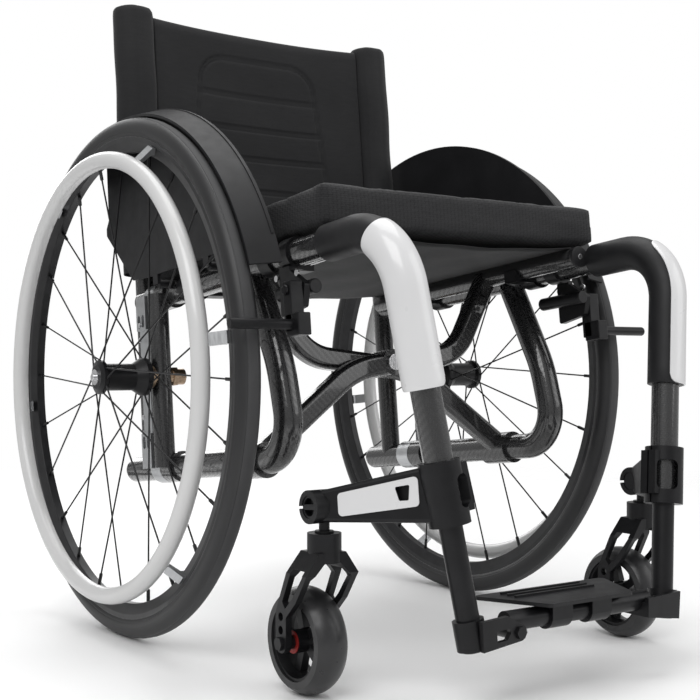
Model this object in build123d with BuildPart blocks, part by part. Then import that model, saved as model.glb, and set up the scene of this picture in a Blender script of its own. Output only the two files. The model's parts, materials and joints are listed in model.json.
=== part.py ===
from build123d import *
from math import cos, degrees, radians, sin, sqrt, tan
import os

os.makedirs("parts", exist_ok=True)

# Folding self-propelled wheelchair with a cross brace under the seat.
# +Z is up, the chair faces -Y, and the user's right hand side is at -X.
# The origin is on the floor, in the middle of the chair's outer box.
# Positions named v, w are in the seat's own slope: v runs rearward, w upward, both from the axle.

# Rear wheels
tyre_r = 295.0
tyre_section_r = 13.0
wheel_x = 248.4
rim_height = 21.0
rim_width = 20.0
handrim_r = 245.0
handrim_tube_r = 9.5
handrim_out = 31.0
tab_count = 6
tab_width = 13.0
tab_thickness = 3.0
hub_out = 33.0
hub_in = 31.0
hub_body_r = 15.5
hub_outer_flange_r = 19.5
hub_inner_flange_r = 22.0
spoke_pairs = 12
spoke_r = 1.0
nipple_r = 2.0
nipple_length = 13.0
axle_r = 6.35
button_r = 4.0
button_travel = 3.0
button_proud = 3.3

# Side frames
seat_slope = 6.0
frame_x = 183.0
upper_w = 97.5
lower_w = -106.0
tube_r = 14.0
lower_tube_r = 15.0
lower_rear_v = 118.0
leg_v = -442.0
leg_taper = 8.55
leg_bend_r = 60.0
leg_tube_end = 262.0
cane_r = 12.5
cane_v = 69.0
cane_x = 181.0
cane_top_w = 462.0
post_x = 200.0
post_r = 12.0
post_clamp_wall = 3.0
receiver_r = 9.5
receiver_end_x = 172.0
nut_r = 12.0
nut_thickness = 6.0

# Leg covers
shroud_start = 122.0
shroud_wall = 2.8
cover_wall = 4.6
cover_start_angle = 37.0
cover_end = 152.0

# Footrest
rest_tube_r = 11.0
rest_tube_length = 391.0
rest_tube_overlap = 60.0
bracket_wall = 3.5
bracket_height = 27.0
flip_x = 86.0
flip_z = 69.0
flip_pin_r = 4.0
knuckle_r = 8.0
crossbar_r = 9.5
crossbar_y = -471.0
crossbar_z = 76.0
crossbar_end = 98.0
plate_front = 496.0
plate_depth = 72.0
plate_rear_half = 88.0
plate_front_half = 54.0
plate_thickness = 3.5
rib_height = 2.0

# Casters
caster_r = 50.8
caster_width = 33.0
caster_x = 214.4
caster_trail = 29.5
stem_y = -363.8
stem_r = 5.0
ring_w = -153.0
ring_r = 15.5
bushing_r = 10.5
ring_length = 36.0
clamp_start = 218.0
clamp_end = 276.0
clamp_r = 19.5
arm_thickness = 25.0
barrel_r = 16.0
barrel_top = 155.0
barrel_height = 27.0
fork_gap = 45.0
fork_plate = 6.5
caster_axle_r = 4.0

# Cross brace
pivot_v = -167.0
pivot_w = -2.3
pivot_r = 6.0
pivot_cap_r = 9.7
arm_height = 25.0
arm_depth = 20.0
arm_gap = 2.0
knee_x = 50.0
knee_w = -9.0
shoulder_x = 100.0
shoulder_w = 8.0
sleeve_wall = 4.0
sleeve_length = 44.0
rail_x = 156.0
rail_w = 100.5
rail_r = 11.0
rail_front_v = -335.0
rail_rear_v = 40.0

# Wheel locks
lock_v = -302.0
lock_w = 56.0
lock_clamp_v = -276.0
lock_plate = 7.0
lock_knob_r = 7.5
lock_knob_length = 62.0
shoe_r = 6.5
shoe_tip_x = 282.0
shoe_v = -309.0
shoe_w = 21.5

# Side guards
guard_x = 212.0
guard_wall = 4.0
guard_r = 309.0
guard_lip_x = 244.0
guard_lip_drop = 9.0

# Seat and back
cushion_half = 187.0
cushion_front_v = -336.0
cushion_rear_v = 43.0
cushion_thickness = 44.5
sling_thickness = 3.0
sleeve_pad_r = 24.0
sleeve_bottom_w = 132.0
panel_thickness = 12.0
panel_top_w = 456.0
panel_bottom_w = 124.0

# Clearances
running = 0.06
seat_fit = 0.05
soft_gap = 0.3

axle_z = tyre_r
axle_y = (plate_front - tyre_r) / 2

slope_sin = sin(radians(seat_slope))
slope_cos = cos(radians(seat_slope))
chassis = Plane(origin=(0, axle_y, axle_z), x_dir=(1, 0, 0), z_dir=(0, slope_sin, slope_cos))


def spot(x, v, w):
    """Room position of a point given in the seat's slope."""
    return chassis.from_local_coords(Vector(x, v, w))


def side_plane(x):
    """Plane seen from the side: its X runs rearward and its Y upward."""
    return Plane(origin=spot(x, 0, 0), x_dir=chassis.y_dir, z_dir=(1, 0, 0))


def front_plane(v):
    """Plane seen from the front: its X is the room's X, its Y upward, its normal forward."""
    return Plane(origin=spot(0, v, 0), x_dir=(1, 0, 0), z_dir=-chassis.y_dir)


def save(piece, name):
    piece.label = name
    export_step(piece, f"parts/{name}.step")


def save_pair(piece, name):
    """Write the right hand piece, and its mirror image for the left hand side."""
    save(piece, f"right_{name}")
    save(mirror(piece, about=Plane.YZ), f"left_{name}")


# Leg line of the right side frame: it leans inward by the leg taper as it goes down
taper_sin = sin(radians(leg_taper))
taper_cos = cos(radians(leg_taper))
knee_point = spot(-frame_x, leg_v, upper_w)
leg_down = chassis.x_dir * taper_sin - chassis.z_dir * taper_cos
leg_plane = Plane(origin=knee_point, x_dir=chassis.y_dir,
                  z_dir=chassis.x_dir * taper_cos + chassis.z_dir * taper_sin)


def leg_station(distance):
    """Plane across the leg at a distance down it, with its normal pointing down the leg."""
    return Plane(origin=knee_point + leg_down * distance, x_dir=chassis.y_dir, z_dir=leg_down)


def rail_room():
    """Slot that the seat rail drops into and rises from, as a sketch seen from the front."""
    with BuildSketch(front_plane(cane_v)) as room:
        with Locations((-rail_x, rail_w)):
            Circle(rail_r + soft_gap)
        with Locations((-rail_x, rail_w + rail_r)):
            Rectangle(2 * (rail_r + soft_gap), 2 * rail_r)
    return room.sketch


def tube_ends(path, radius):
    """Round section at the start of a path, ready to sweep."""
    with BuildSketch(Plane(origin=path @ 0, z_dir=path % 0)) as section:
        Circle(radius)
    return section.sketch


# Upper frame tube, front bend and carbon leg in one length
with BuildPart() as upper_tube:
    with BuildLine(leg_plane) as upper_path:
        FilletPolyline((cane_v - leg_v, 0), (0, 0), (0, -leg_tube_end), radius=leg_bend_r)
    sweep(sections=tube_ends(upper_path.line, tube_r), path=upper_path.line)
    with BuildSketch(leg_station(leg_tube_end - rest_tube_overlap)):
        Circle(rest_tube_r + seat_fit)
    extrude(amount=rest_tube_overlap, mode=Mode.SUBTRACT)
    with BuildSketch(Plane(origin=spot(-cane_x, cane_v, 0), z_dir=chassis.z_dir)):
        Circle(cane_r)
    extrude(amount=upper_w + 2 * tube_r, mode=Mode.SUBTRACT)
save_pair(upper_tube.part, "upper_tube")

# Lower loop: level tube from the rear cap, front bend and slanted member up to the upper tube
lower_bend_r = 42.0
knee_bend_r = 150.0
loop_front_v = -254.0
loop_knee_v = -238.0
loop_knee_w = -12.0
loop_top_v = -191.3
cap_round = 9.0
with BuildPart() as lower_tube:
    with BuildLine(side_plane(-frame_x)) as lower_path:
        FilletPolyline((lower_rear_v, lower_w), (loop_front_v, lower_w),
                       (loop_knee_v, loop_knee_w), (loop_top_v, upper_w),
                       radius=[lower_bend_r, knee_bend_r])
    sweep(sections=tube_ends(lower_path.line, lower_tube_r), path=lower_path.line)
    fillet(lower_tube.faces().sort_by(Axis.Y)[-1].edges(), radius=cap_round)
    with BuildSketch(front_plane(0)):
        with Locations((-frame_x, upper_w)):
            Circle(tube_r)
    extrude(amount=-leg_v, mode=Mode.SUBTRACT)
save_pair(lower_tube.part, "lower_tube")

# Back cane, standing on the lower tube and rising past the upper tube
with BuildPart() as back_cane:
    with BuildSketch(Plane(origin=spot(-cane_x, cane_v, lower_w), z_dir=chassis.z_dir)):
        Circle(cane_r)
    extrude(amount=cane_top_w - lower_w)
    fillet(back_cane.faces().sort_by(Axis.Z)[-1].edges(), radius=cane_r / 3)
    with BuildSketch(front_plane(cane_v + 2 * cane_r)):
        with Locations((-frame_x, lower_w)):
            Circle(lower_tube_r)
    extrude(amount=4 * cane_r, mode=Mode.SUBTRACT)
save_pair(back_cane.part, "back_cane")

# Axle post: round post beside the frame, clamped to both tubes, that holds the axle receiver
clamp_length = 2 * post_r
with BuildPart() as axle_post:
    with BuildSketch(Plane(origin=spot(-post_x, 0, lower_w), z_dir=chassis.z_dir)):
        Circle(post_r)
    extrude(amount=upper_w - lower_w)
    with BuildSketch(front_plane(-post_r)):
        with Locations((-frame_x, upper_w)):
            Circle(tube_r + post_clamp_wall)
        with Locations((-frame_x, lower_w)):
            Circle(lower_tube_r + post_clamp_wall)
    extrude(amount=-clamp_length)
    with BuildSketch(front_plane(-2 * post_r)):
        with Locations((-frame_x, upper_w)):
            Circle(tube_r + seat_fit)
        with Locations((-frame_x, lower_w)):
            Circle(lower_tube_r + seat_fit)
    extrude(amount=-2 * clamp_length, mode=Mode.SUBTRACT)
    extrude(rail_room(), amount=cane_v - leg_v, mode=Mode.SUBTRACT)
    with BuildSketch(side_plane(-post_x - 2 * post_r)):
        Circle(receiver_r + seat_fit)
    extrude(amount=4 * post_r, mode=Mode.SUBTRACT)
save_pair(axle_post.part, "axle_post")

# Axle receiver: sleeve through the post, with an outer flange and an inner hexagon nut
flange_r = 13.0
post_outer_x = post_x + post_r
post_inner_x = post_x - post_r
receiver_face_x = wheel_x - hub_in - seat_fit
with BuildPart() as axle_receiver:
    with BuildSketch(side_plane(-receiver_face_x)):
        Circle(flange_r)
    extrude(amount=receiver_face_x - post_outer_x - seat_fit)
    with BuildSketch(side_plane(-receiver_face_x)):
        Circle(receiver_r)
    extrude(amount=receiver_face_x - receiver_end_x)
    with BuildSketch(side_plane(-post_inner_x + seat_fit)):
        RegularPolygon(nut_r, 6)
    extrude(amount=nut_thickness)
    with BuildSketch(side_plane(-receiver_face_x)):
        Circle(axle_r + running)
    extrude(amount=receiver_face_x, mode=Mode.SUBTRACT)
save_pair(axle_receiver.part, "axle_receiver")

# Axle plate behind the post, with a strap round each tube
strap_front_v = post_r + 1.0
strap_width = 24.0
strap_wall = 3.0
strap_drop = 26.0
plate_x = post_x + 4.0
plate_wall = 7.0
slot_length = 15.0
slot_width = 7.0
strap_mid_v = strap_front_v + strap_width / 2
with BuildPart() as axle_plate:
    for tube_w, radius, down in ((upper_w, tube_r, -1), (lower_w, lower_tube_r, 1)):
        tab_far_w = tube_w + down * (radius + strap_drop)
        with BuildSketch(front_plane(strap_front_v)):
            with Locations((-frame_x, tube_w)):
                Circle(radius + strap_wall)
            with Locations((-plate_x - plate_wall / 2 + strap_wall / 2, (tube_w + tab_far_w) / 2)):
                Rectangle(strap_wall + plate_wall, abs(tab_far_w - tube_w))
            with Locations((-frame_x, tube_w)):
                Circle(radius + seat_fit, mode=Mode.SUBTRACT)
        extrude(amount=-strap_width)
    with BuildSketch(front_plane(strap_front_v + 1)):
        with Locations((-plate_x, (upper_w + lower_w) / 2)):
            Rectangle(plate_wall, upper_w - lower_w - 2 * tube_r - 2 * strap_wall - 1)
    extrude(amount=-(strap_width - 2))
    with BuildSketch(side_plane(-plate_x - 2 * plate_wall)):
        for tube_w, down in ((upper_w - tube_r, -1), (lower_w + lower_tube_r, 1)):
            with Locations((strap_mid_v - slot_width * 0.75, tube_w + down * strap_drop * 0.6),
                           (strap_mid_v + slot_width * 0.75, tube_w + down * strap_drop * 0.6)):
                SlotOverall(slot_length, slot_width, rotation=90)
    extrude(amount=4 * plate_wall, mode=Mode.SUBTRACT)
    extrude(rail_room(), amount=cane_v - leg_v, mode=Mode.SUBTRACT)
save_pair(axle_plate.part, "axle_plate")


def leg_shell(path, outer_r, inner_r, facing):
    """Half round shell that lies on the tube's front and upper side along a path."""
    start = Plane(origin=path @ 0, x_dir=facing, z_dir=path % 0)
    with BuildSketch(start) as section:
        Circle(outer_r)
        Circle(inner_r, mode=Mode.SUBTRACT)
        with Locations((-outer_r, 0)):
            Rectangle(2 * outer_r - 4, 2 * outer_r, mode=Mode.SUBTRACT)
    return section.sketch


# Leg cover: hard shell on the front of the leg, from the bend downward
cover_start = 90 + cover_start_angle
with BuildPart() as leg_cover:
    with BuildLine(leg_plane) as cover_path:
        CenterArc((leg_bend_r, -leg_bend_r), leg_bend_r, cover_start, 90 - cover_start_angle)
        Line((0, -leg_bend_r), (0, -cover_end))
    outward = (cover_path.line @ 0) - leg_plane.from_local_coords(Vector(leg_bend_r, -leg_bend_r, 0))
    sweep(sections=leg_shell(cover_path.line, tube_r + cover_wall, tube_r + seat_fit, outward),
          path=cover_path.line)
save_pair(leg_cover.part, "leg_cover")

# Bend shroud: thin shell over the top of the bend, behind the leg cover
with BuildPart() as bend_shroud:
    with BuildLine(leg_plane) as shroud_path:
        Line((shroud_start, 0), (leg_bend_r, 0))
        CenterArc((leg_bend_r, -leg_bend_r), leg_bend_r, 90, cover_start_angle - 0.3)
    sweep(sections=leg_shell(shroud_path.line, tube_r + shroud_wall, tube_r + seat_fit,
                             leg_plane.y_dir),
          path=shroud_path.line)
    extrude(rail_room(), amount=cane_v - rail_front_v + 2, mode=Mode.SUBTRACT)
save_pair(bend_shroud.part, "bend_shroud")

# Footrest tube, sliding in the leg
with BuildPart() as footrest_tube:
    with BuildSketch(leg_station(leg_tube_end - rest_tube_overlap + 1)):
        Circle(rest_tube_r)
    extrude(amount=rest_tube_length - leg_tube_end + rest_tube_overlap - 1)
    fillet(footrest_tube.faces().sort_by(Axis.Z)[0].edges(), radius=2)
save_pair(footrest_tube.part, "footrest_tube")

# Caster arm: barrel clamped on the leg, tapered arm and a split ring at its end
leg_slope = taper_sin / taper_cos
arm_root_w = -147.0
arm_root_x = -frame_x + (upper_w - arm_root_w) * leg_slope
stem_v = stem_y * slope_cos - (barrel_top + 27 - axle_z) * slope_sin
arm_dir = Vector(-caster_x - arm_root_x, stem_v - leg_v, 0)
arm_length = arm_dir.length
arm_x = chassis.x_dir * (arm_dir.X / arm_length) + chassis.y_dir * (arm_dir.Y / arm_length)
arm_normal = arm_x.cross(chassis.z_dir)
arm_plane = Plane(origin=spot(arm_root_x, leg_v, arm_root_w), x_dir=arm_x, z_dir=arm_normal)
ring_drop = ring_w - arm_root_w
arm_root_half = 26.0
reducer = 12.0
window_width = 22.0
window_height = 30.0
ear_reach = 29.0
ear_width = 15.0
pinch_bolt_r = 3.5
with BuildPart() as caster_arm:
    with BuildSketch(arm_plane.offset(-arm_thickness / 2)):
        with BuildLine():
            Polyline((6, arm_root_half), (arm_length, ring_drop + ring_r - 1),
                     (arm_length, ring_drop - ring_r + 1), (6, -arm_root_half), close=True)
        make_face()
    extrude(amount=arm_thickness)
    fillet(caster_arm.edges().filter_by(lambda e: e.length > arm_length * 0.7), radius=4)
    with BuildSketch(leg_station(clamp_start)):
        Circle(clamp_r)
    extrude(amount=clamp_end - clamp_start)
    with BuildSketch(side_plane(-caster_x - ring_length / 2)):
        with Locations((stem_v, ring_w)):
            Circle(ring_r)
    extrude(amount=ring_length)
    with BuildSketch(leg_station(clamp_start + 5)):
        with Locations((0, clamp_r * 0.5)):
            Rectangle(ear_width + 4, ear_reach)
    extrude(amount=(clamp_end - clamp_start) - 14)
    with BuildSketch(leg_station(clamp_start - 1)):
        Circle(tube_r + seat_fit)
    extrude(amount=clamp_end - clamp_start - reducer + 1, mode=Mode.SUBTRACT)
    with BuildSketch(leg_station(clamp_start)):
        Circle(rest_tube_r + seat_fit)
    extrude(amount=clamp_end - clamp_start + 1, mode=Mode.SUBTRACT)
    with BuildSketch(leg_station(clamp_start - 1)):
        with Locations((0, clamp_r + 8)):
            Rectangle(2, ear_reach)
    extrude(amount=clamp_end - clamp_start + 2, mode=Mode.SUBTRACT)
    with BuildSketch(side_plane(-caster_x - ring_length)):
        with Locations((stem_v, ring_w)):
            Circle(bushing_r + seat_fit)
        with Locations((stem_v + ring_r, ring_w)):
            Rectangle(ring_r, 2.4)
    extrude(amount=2 * ring_length, mode=Mode.SUBTRACT)
    with BuildSketch(Plane(origin=leg_station((clamp_start + clamp_end) / 2).origin,
                           x_dir=leg_down,
                           z_dir=leg_plane.z_dir * sin(radians(38)) - chassis.y_dir * cos(radians(38)))):
        with BuildLine():
            FilletPolyline((-window_height / 2, -window_width / 2), (window_height / 2, -window_width / 2),
                           (window_height / 2, window_width / 2), (-window_height / 2, window_width / 2),
                           radius=6, close=True)
        make_face()
    extrude(amount=clamp_r * 2, mode=Mode.SUBTRACT)
    with BuildSketch(Plane(origin=(-caster_x, axle_y + stem_y, 0))):
        Circle(stem_r + running)
    extrude(amount=barrel_top + 24, mode=Mode.SUBTRACT)
    pocket_plane = arm_plane.offset(-arm_thickness / 2 - 1)
    with BuildSketch(pocket_plane):
        with BuildLine():
            Polyline((27, 10), (43, 8.5), (39, -5), (29, -5), close=True)
        make_face()
    extrude(amount=9, mode=Mode.SUBTRACT)
caster_arm_right = caster_arm.part

# Bushing in the ring, dished on its outer face, with a level bar across the dish
bushing_half = ring_length / 2 - 1
dish_depth = 5.0
with BuildPart() as stem_bushing:
    with BuildSketch(side_plane(-caster_x - bushing_half)):
        with Locations((stem_v, ring_w)):
            Circle(bushing_r)
    extrude(amount=2 * bushing_half)
    with BuildSketch(side_plane(-caster_x - bushing_half)):
        with Locations((stem_v, ring_w)):
            Circle(bushing_r - 2)
        with Locations((stem_v, ring_w)):
            Rectangle(2 * bushing_r, 5, mode=Mode.SUBTRACT)
    extrude(amount=dish_depth, mode=Mode.SUBTRACT)
    with BuildSketch(Plane(origin=(-caster_x, axle_y + stem_y, 0))):
        Circle(stem_r + running)
    extrude(amount=barrel_top + 24, mode=Mode.SUBTRACT)
save_pair(Compound(children=[caster_arm_right, stem_bushing.part]), "caster_arm")

# Plate let on to the outer face of the caster arm
arm_plate_wall = 1.4
with BuildPart() as arm_plate:
    with BuildSketch(arm_plane.offset(-arm_thickness / 2)):
        with BuildLine():
            FilletPolyline((20, 17), (arm_length - 18, ring_drop + 11), (arm_length - 18, ring_drop - 10),
                           (20, -10), radius=4, close=True)
        make_face()
        with BuildLine():
            FilletPolyline((28, 9.5), (42, 8), (38.5, -4.5), (29.5, -4.5), radius=1.5, close=True)
        make_face(mode=Mode.SUBTRACT)
    extrude(amount=-arm_plate_wall)
save_pair(arm_plate.part, "arm_plate")

# Fork: barrel with its stem, and a pair of open struts down each side of the wheel
caster_y = axle_y + stem_y + caster_trail
fork_y = axle_y + stem_y
lug_r = 9.0
hole_pitch = 12.5
fork_half = fork_gap / 2 + fork_plate
kink_z = 118.0
fork_view = Plane(origin=(-caster_x, fork_y, 0), x_dir=(1, 0, 0), z_dir=(0, -1, 0))
fork_side = Plane(origin=(-caster_x, fork_y, 0), x_dir=(0, 1, 0), z_dir=(1, 0, 0))
with BuildPart() as fork:
    with BuildSketch(fork_view.offset(-60)):
        with BuildLine():
            Polyline((-fork_half, 30), (-fork_half, kink_z), (-barrel_r + 1, barrel_top - barrel_height + 10),
                     (barrel_r - 1, barrel_top - barrel_height + 10), (fork_half, kink_z), (fork_half, 30),
                     close=True)
        make_face()
        with BuildLine():
            Polyline((-fork_gap / 2, 20), (-fork_gap / 2, kink_z - 4), (-barrel_r + 7, barrel_top - barrel_height),
                     (barrel_r - 7, barrel_top - barrel_height), (fork_gap / 2, kink_z - 4), (fork_gap / 2, 20),
                     close=True)
        make_face(mode=Mode.SUBTRACT)
    extrude(amount=120)
    with BuildSketch(fork_side.offset(-2 * fork_half)):
        with BuildLine():
            Polyline((-14, barrel_top), (-14, kink_z), (4, 92), (caster_trail - lug_r, 76),
                     (caster_trail - lug_r, caster_r), (caster_trail + lug_r, caster_r),
                     (caster_trail + lug_r, 78), (caster_trail + 4, 90), (20, kink_z), (14, barrel_top),
                     close=True)
        make_face()
        with Locations((caster_trail, caster_r)):
            Circle(lug_r)
        with BuildLine():
            Polyline((-7, kink_z + 4), (-7, kink_z - 1), (10, 95), (22, 84), (27, 90), (14, kink_z - 2),
                     (12, kink_z + 4), close=True)
        make_face(mode=Mode.SUBTRACT)
        with Locations([(caster_trail, caster_r + i * hole_pitch) for i in (1, 2)]):
            Circle(caster_axle_r, mode=Mode.SUBTRACT)
        with Locations((caster_trail, caster_r)):
            Circle(caster_axle_r + seat_fit, mode=Mode.SUBTRACT)
    extrude(amount=4 * fork_half, mode=Mode.INTERSECT)
    with BuildSketch(Plane(origin=(-caster_x, fork_y, barrel_top - barrel_height))):
        Circle(barrel_r)
    extrude(amount=barrel_height)
    with BuildSketch(Plane(origin=(-caster_x, fork_y, barrel_top))):
        Circle(barrel_r * 0.55)
    extrude(amount=2)
    with BuildSketch(Plane(origin=(-caster_x, fork_y, barrel_top))):
        Circle(stem_r)
    extrude(amount=22)
with BuildPart() as caster_axle:
    with BuildSketch(fork_side.offset(-fork_half - 3)):
        with Locations((caster_trail, caster_r)):
            Circle(caster_axle_r)
    extrude(amount=2 * fork_half + 6)
    for start in (-fork_half - 3.5, fork_half):
        with BuildSketch(fork_side.offset(start)):
            with Locations((caster_trail, caster_r)):
                RegularPolygon(6.5, 6)
        extrude(amount=3.5)
    for start in (-fork_gap / 2, caster_width / 2 - 1):
        with BuildSketch(fork_side.offset(start)):
            with Locations((caster_trail, caster_r)):
                Circle(6.5)
        extrude(amount=fork_gap / 2 - caster_width / 2 + 1)
save_pair(Compound(children=[fork.part, caster_axle.part]), "caster_fork")

# Caster wheel: soft tyre with round shoulders on a spoked hub
caster_rim_r = 37.0
caster_axis = Axis((-caster_x, caster_y, caster_r), (1, 0, 0))
caster_section = Plane(origin=(-caster_x, caster_y, caster_r), x_dir=(1, 0, 0), z_dir=(0, -1, 0))
half_tyre = caster_width / 2
with BuildPart() as caster_tyre:
    with BuildSketch(caster_section):
        with BuildLine():
            Polyline((-half_tyre, caster_rim_r + seat_fit), (half_tyre, caster_rim_r + seat_fit),
                     (half_tyre, caster_r - 7))
            ThreePointArc((half_tyre, caster_r - 7), (0, caster_r), (-half_tyre, caster_r - 7))
            Line((-half_tyre, caster_r - 7), (-half_tyre, caster_rim_r + seat_fit))
        make_face()
    revolve(axis=caster_axis)
save_pair(caster_tyre.part, "caster_tyre")

caster_spokes = 5
bearing_r = 11.0
hub_half = half_tyre - 1 - seat_fit
with BuildPart() as caster_hub:
    with BuildSketch(caster_section):
        with BuildLine():
            Polyline((-half_tyre + 2, caster_rim_r), (half_tyre - 2, caster_rim_r), (half_tyre - 2, caster_rim_r - 3),
                     (5, caster_rim_r - 6), (-5, caster_rim_r - 6), (-half_tyre + 2, caster_rim_r - 3), close=True)
        make_face()
        with BuildLine():
            Polyline((-hub_half, caster_axle_r + running), (hub_half, caster_axle_r + running),
                     (hub_half, bearing_r), (-hub_half, bearing_r), close=True)
        make_face()
    revolve(axis=caster_axis)
    spoke_reach = caster_rim_r - 5 - bearing_r
    spoke_plane = Plane(origin=(-caster_x, caster_y, caster_r), x_dir=(0, 1, 0), z_dir=(1, 0, 0))
    with BuildSketch(spoke_plane.offset(-4)):
        with PolarLocations(bearing_r - 1 + (spoke_reach + 2) / 2, caster_spokes):
            Trapezoid(spoke_reach + 2, 9, 83, rotation=0)
    extrude(amount=8)
save_pair(caster_hub.part, "caster_hub")

# Rear wheel pieces, turned about the axle line
wheel_axis = Axis((-wheel_x, axle_y, axle_z), (1, 0, 0))
wheel_section = Plane(origin=(-wheel_x, axle_y, axle_z), x_dir=(-1, 0, 0), z_dir=(0, 1, 0))
tyre_mid_r = tyre_r - tyre_section_r
rim_outer_r = tyre_mid_r - 5
rim_inner_r = rim_outer_r - rim_height
with BuildPart() as tyre:
    with BuildSketch(wheel_section):
        with Locations((0, tyre_mid_r)):
            Circle(tyre_section_r)
    revolve(axis=wheel_axis)
save_pair(tyre.part, "rear_tyre")

with BuildPart() as rim:
    with BuildSketch(wheel_section):
        with BuildLine():
            FilletPolyline((-rim_width / 2, rim_outer_r), (rim_width / 2, rim_outer_r),
                           (rim_width / 2 - 1, rim_outer_r - 9), (5, rim_inner_r), (-5, rim_inner_r),
                           (-rim_width / 2 + 1, rim_outer_r - 9), radius=1, close=True)
        make_face()
        with Locations((0, tyre_mid_r)):
            Circle(tyre_section_r + seat_fit, mode=Mode.SUBTRACT)
    revolve(axis=wheel_axis)
save_pair(rim.part, "rim")

with BuildPart() as handrim:
    with BuildSketch(wheel_section):
        with Locations((handrim_out, handrim_r)):
            Circle(handrim_tube_r)
    revolve(axis=wheel_axis)
save_pair(handrim.part, "handrim")

tab_foot_r = rim_outer_r - 13
tab_foot_out = rim_width / 2
with BuildPart() as handrim_tabs:
    for i in range(tab_count):
        turn = (i + 0.35) * 360 / tab_count
        blade = Plane(origin=(-wheel_x, axle_y, axle_z),
                      x_dir=(-1, 0, 0),
                      z_dir=(0, cos(radians(turn)), sin(radians(turn))))
        with BuildSketch(blade.offset(-tab_width / 2)):
            with BuildLine():
                Polyline((tab_foot_out - 0.5, tab_foot_r - 4), (tab_foot_out - 0.5, tab_foot_r + 4),
                         (tab_foot_out + tab_thickness, tab_foot_r + 4),
                         (handrim_out, handrim_r + tab_thickness / 2), (handrim_out, handrim_r - tab_thickness),
                         (tab_foot_out + tab_thickness, tab_foot_r - 4), close=True)
            make_face()
            with Locations((handrim_out, handrim_r)):
                Circle(handrim_tube_r + soft_gap, mode=Mode.SUBTRACT)
            with BuildLine():
                Polyline((0, rim_outer_r + 1), (rim_width / 2 + seat_fit, rim_outer_r + 1),
                         (rim_width / 2 + seat_fit - 1, rim_outer_r - 9), (5 + seat_fit, rim_inner_r),
                         (0, rim_inner_r), close=True)
            make_face(mode=Mode.SUBTRACT)
        extrude(amount=tab_width)
save_pair(handrim_tabs.part, "handrim_tabs")

with BuildPart() as hub:
    with BuildSketch(wheel_section):
        with BuildLine():
            Polyline((hub_out, axle_r + running), (hub_out, hub_outer_flange_r - 6),
                     (hub_out - 2.5, hub_outer_flange_r), (hub_out - 7, hub_outer_flange_r),
                     (hub_out - 10, hub_body_r), (-hub_in + 20, hub_body_r), (-hub_in + 9, hub_inner_flange_r),
                     (-hub_in + 3, hub_inner_flange_r), (-hub_in, hub_inner_flange_r - 5),
                     (-hub_in, axle_r + running), close=True)
        make_face()
    revolve(axis=wheel_axis)

# Spokes: one leaning forward and one rearward from each pair of seats on each flange
spoke_lean = 32.0
spoke_step = 360 / spoke_pairs


def wheel_point(out, radius, turn):
    """Point of the right wheel at a distance outboard, a radius and a turn about the axle."""
    return Vector(-wheel_x - out, axle_y + radius * cos(radians(turn)), axle_z + radius * sin(radians(turn)))


spokes = []
for out, flange_radius, phase in ((hub_out - 4.5, hub_outer_flange_r, 0), (-hub_in + 6, hub_inner_flange_r, spoke_step / 2)):
    for i in range(spoke_pairs):
        lean = spoke_lean if i % 2 else -spoke_lean
        rim_turn = i * spoke_step + phase
        seat = wheel_point(out, flange_radius + 0.4, rim_turn + lean)
        nipple = wheel_point(0, rim_inner_r - 0.25, rim_turn)
        run = nipple - seat
        with BuildPart() as spoke:
            with BuildSketch(Plane(origin=seat, z_dir=run)):
                RegularPolygon(spoke_r, 6)
            extrude(amount=run.length)
            with BuildSketch(Plane(origin=nipple - run.normalized() * nipple_length, z_dir=run)):
                RegularPolygon(nipple_r, 6)
            extrude(amount=nipple_length)
        spokes.append(spoke.part)
save_pair(Compound(children=[hub.part] + spokes), "hub")

# Quick release axle with its push button
axle_head_r = 9.0
axle_head = 2.4
button_depth = 26.0
with BuildPart() as quick_axle:
    with BuildSketch(wheel_section):
        with BuildLine():
            Polyline((hub_out + axle_head, button_r + running), (hub_out + axle_head, axle_head_r),
                     (hub_out + seat_fit, axle_head_r), (hub_out + seat_fit, axle_r),
                     (receiver_end_x - wheel_x - 1, axle_r), (receiver_end_x - wheel_x - 3, axle_r - 2),
                     (receiver_end_x - wheel_x - 3, 0), (hub_out - button_depth, 0),
                     (hub_out - button_depth, button_r + running), close=True)
        make_face()
    revolve(axis=wheel_axis)
save_pair(quick_axle.part, "quick_axle")

with BuildPart() as axle_button:
    with BuildSketch(side_plane(-wheel_x - hub_out - axle_head - button_proud)):
        Circle(button_r)
    extrude(amount=button_depth + axle_head + button_proud - button_travel - 0.5)
    fillet(axle_button.faces().sort_by(Axis.X)[0].edges(), radius=1)
save_pair(axle_button.part, "axle_button")

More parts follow.
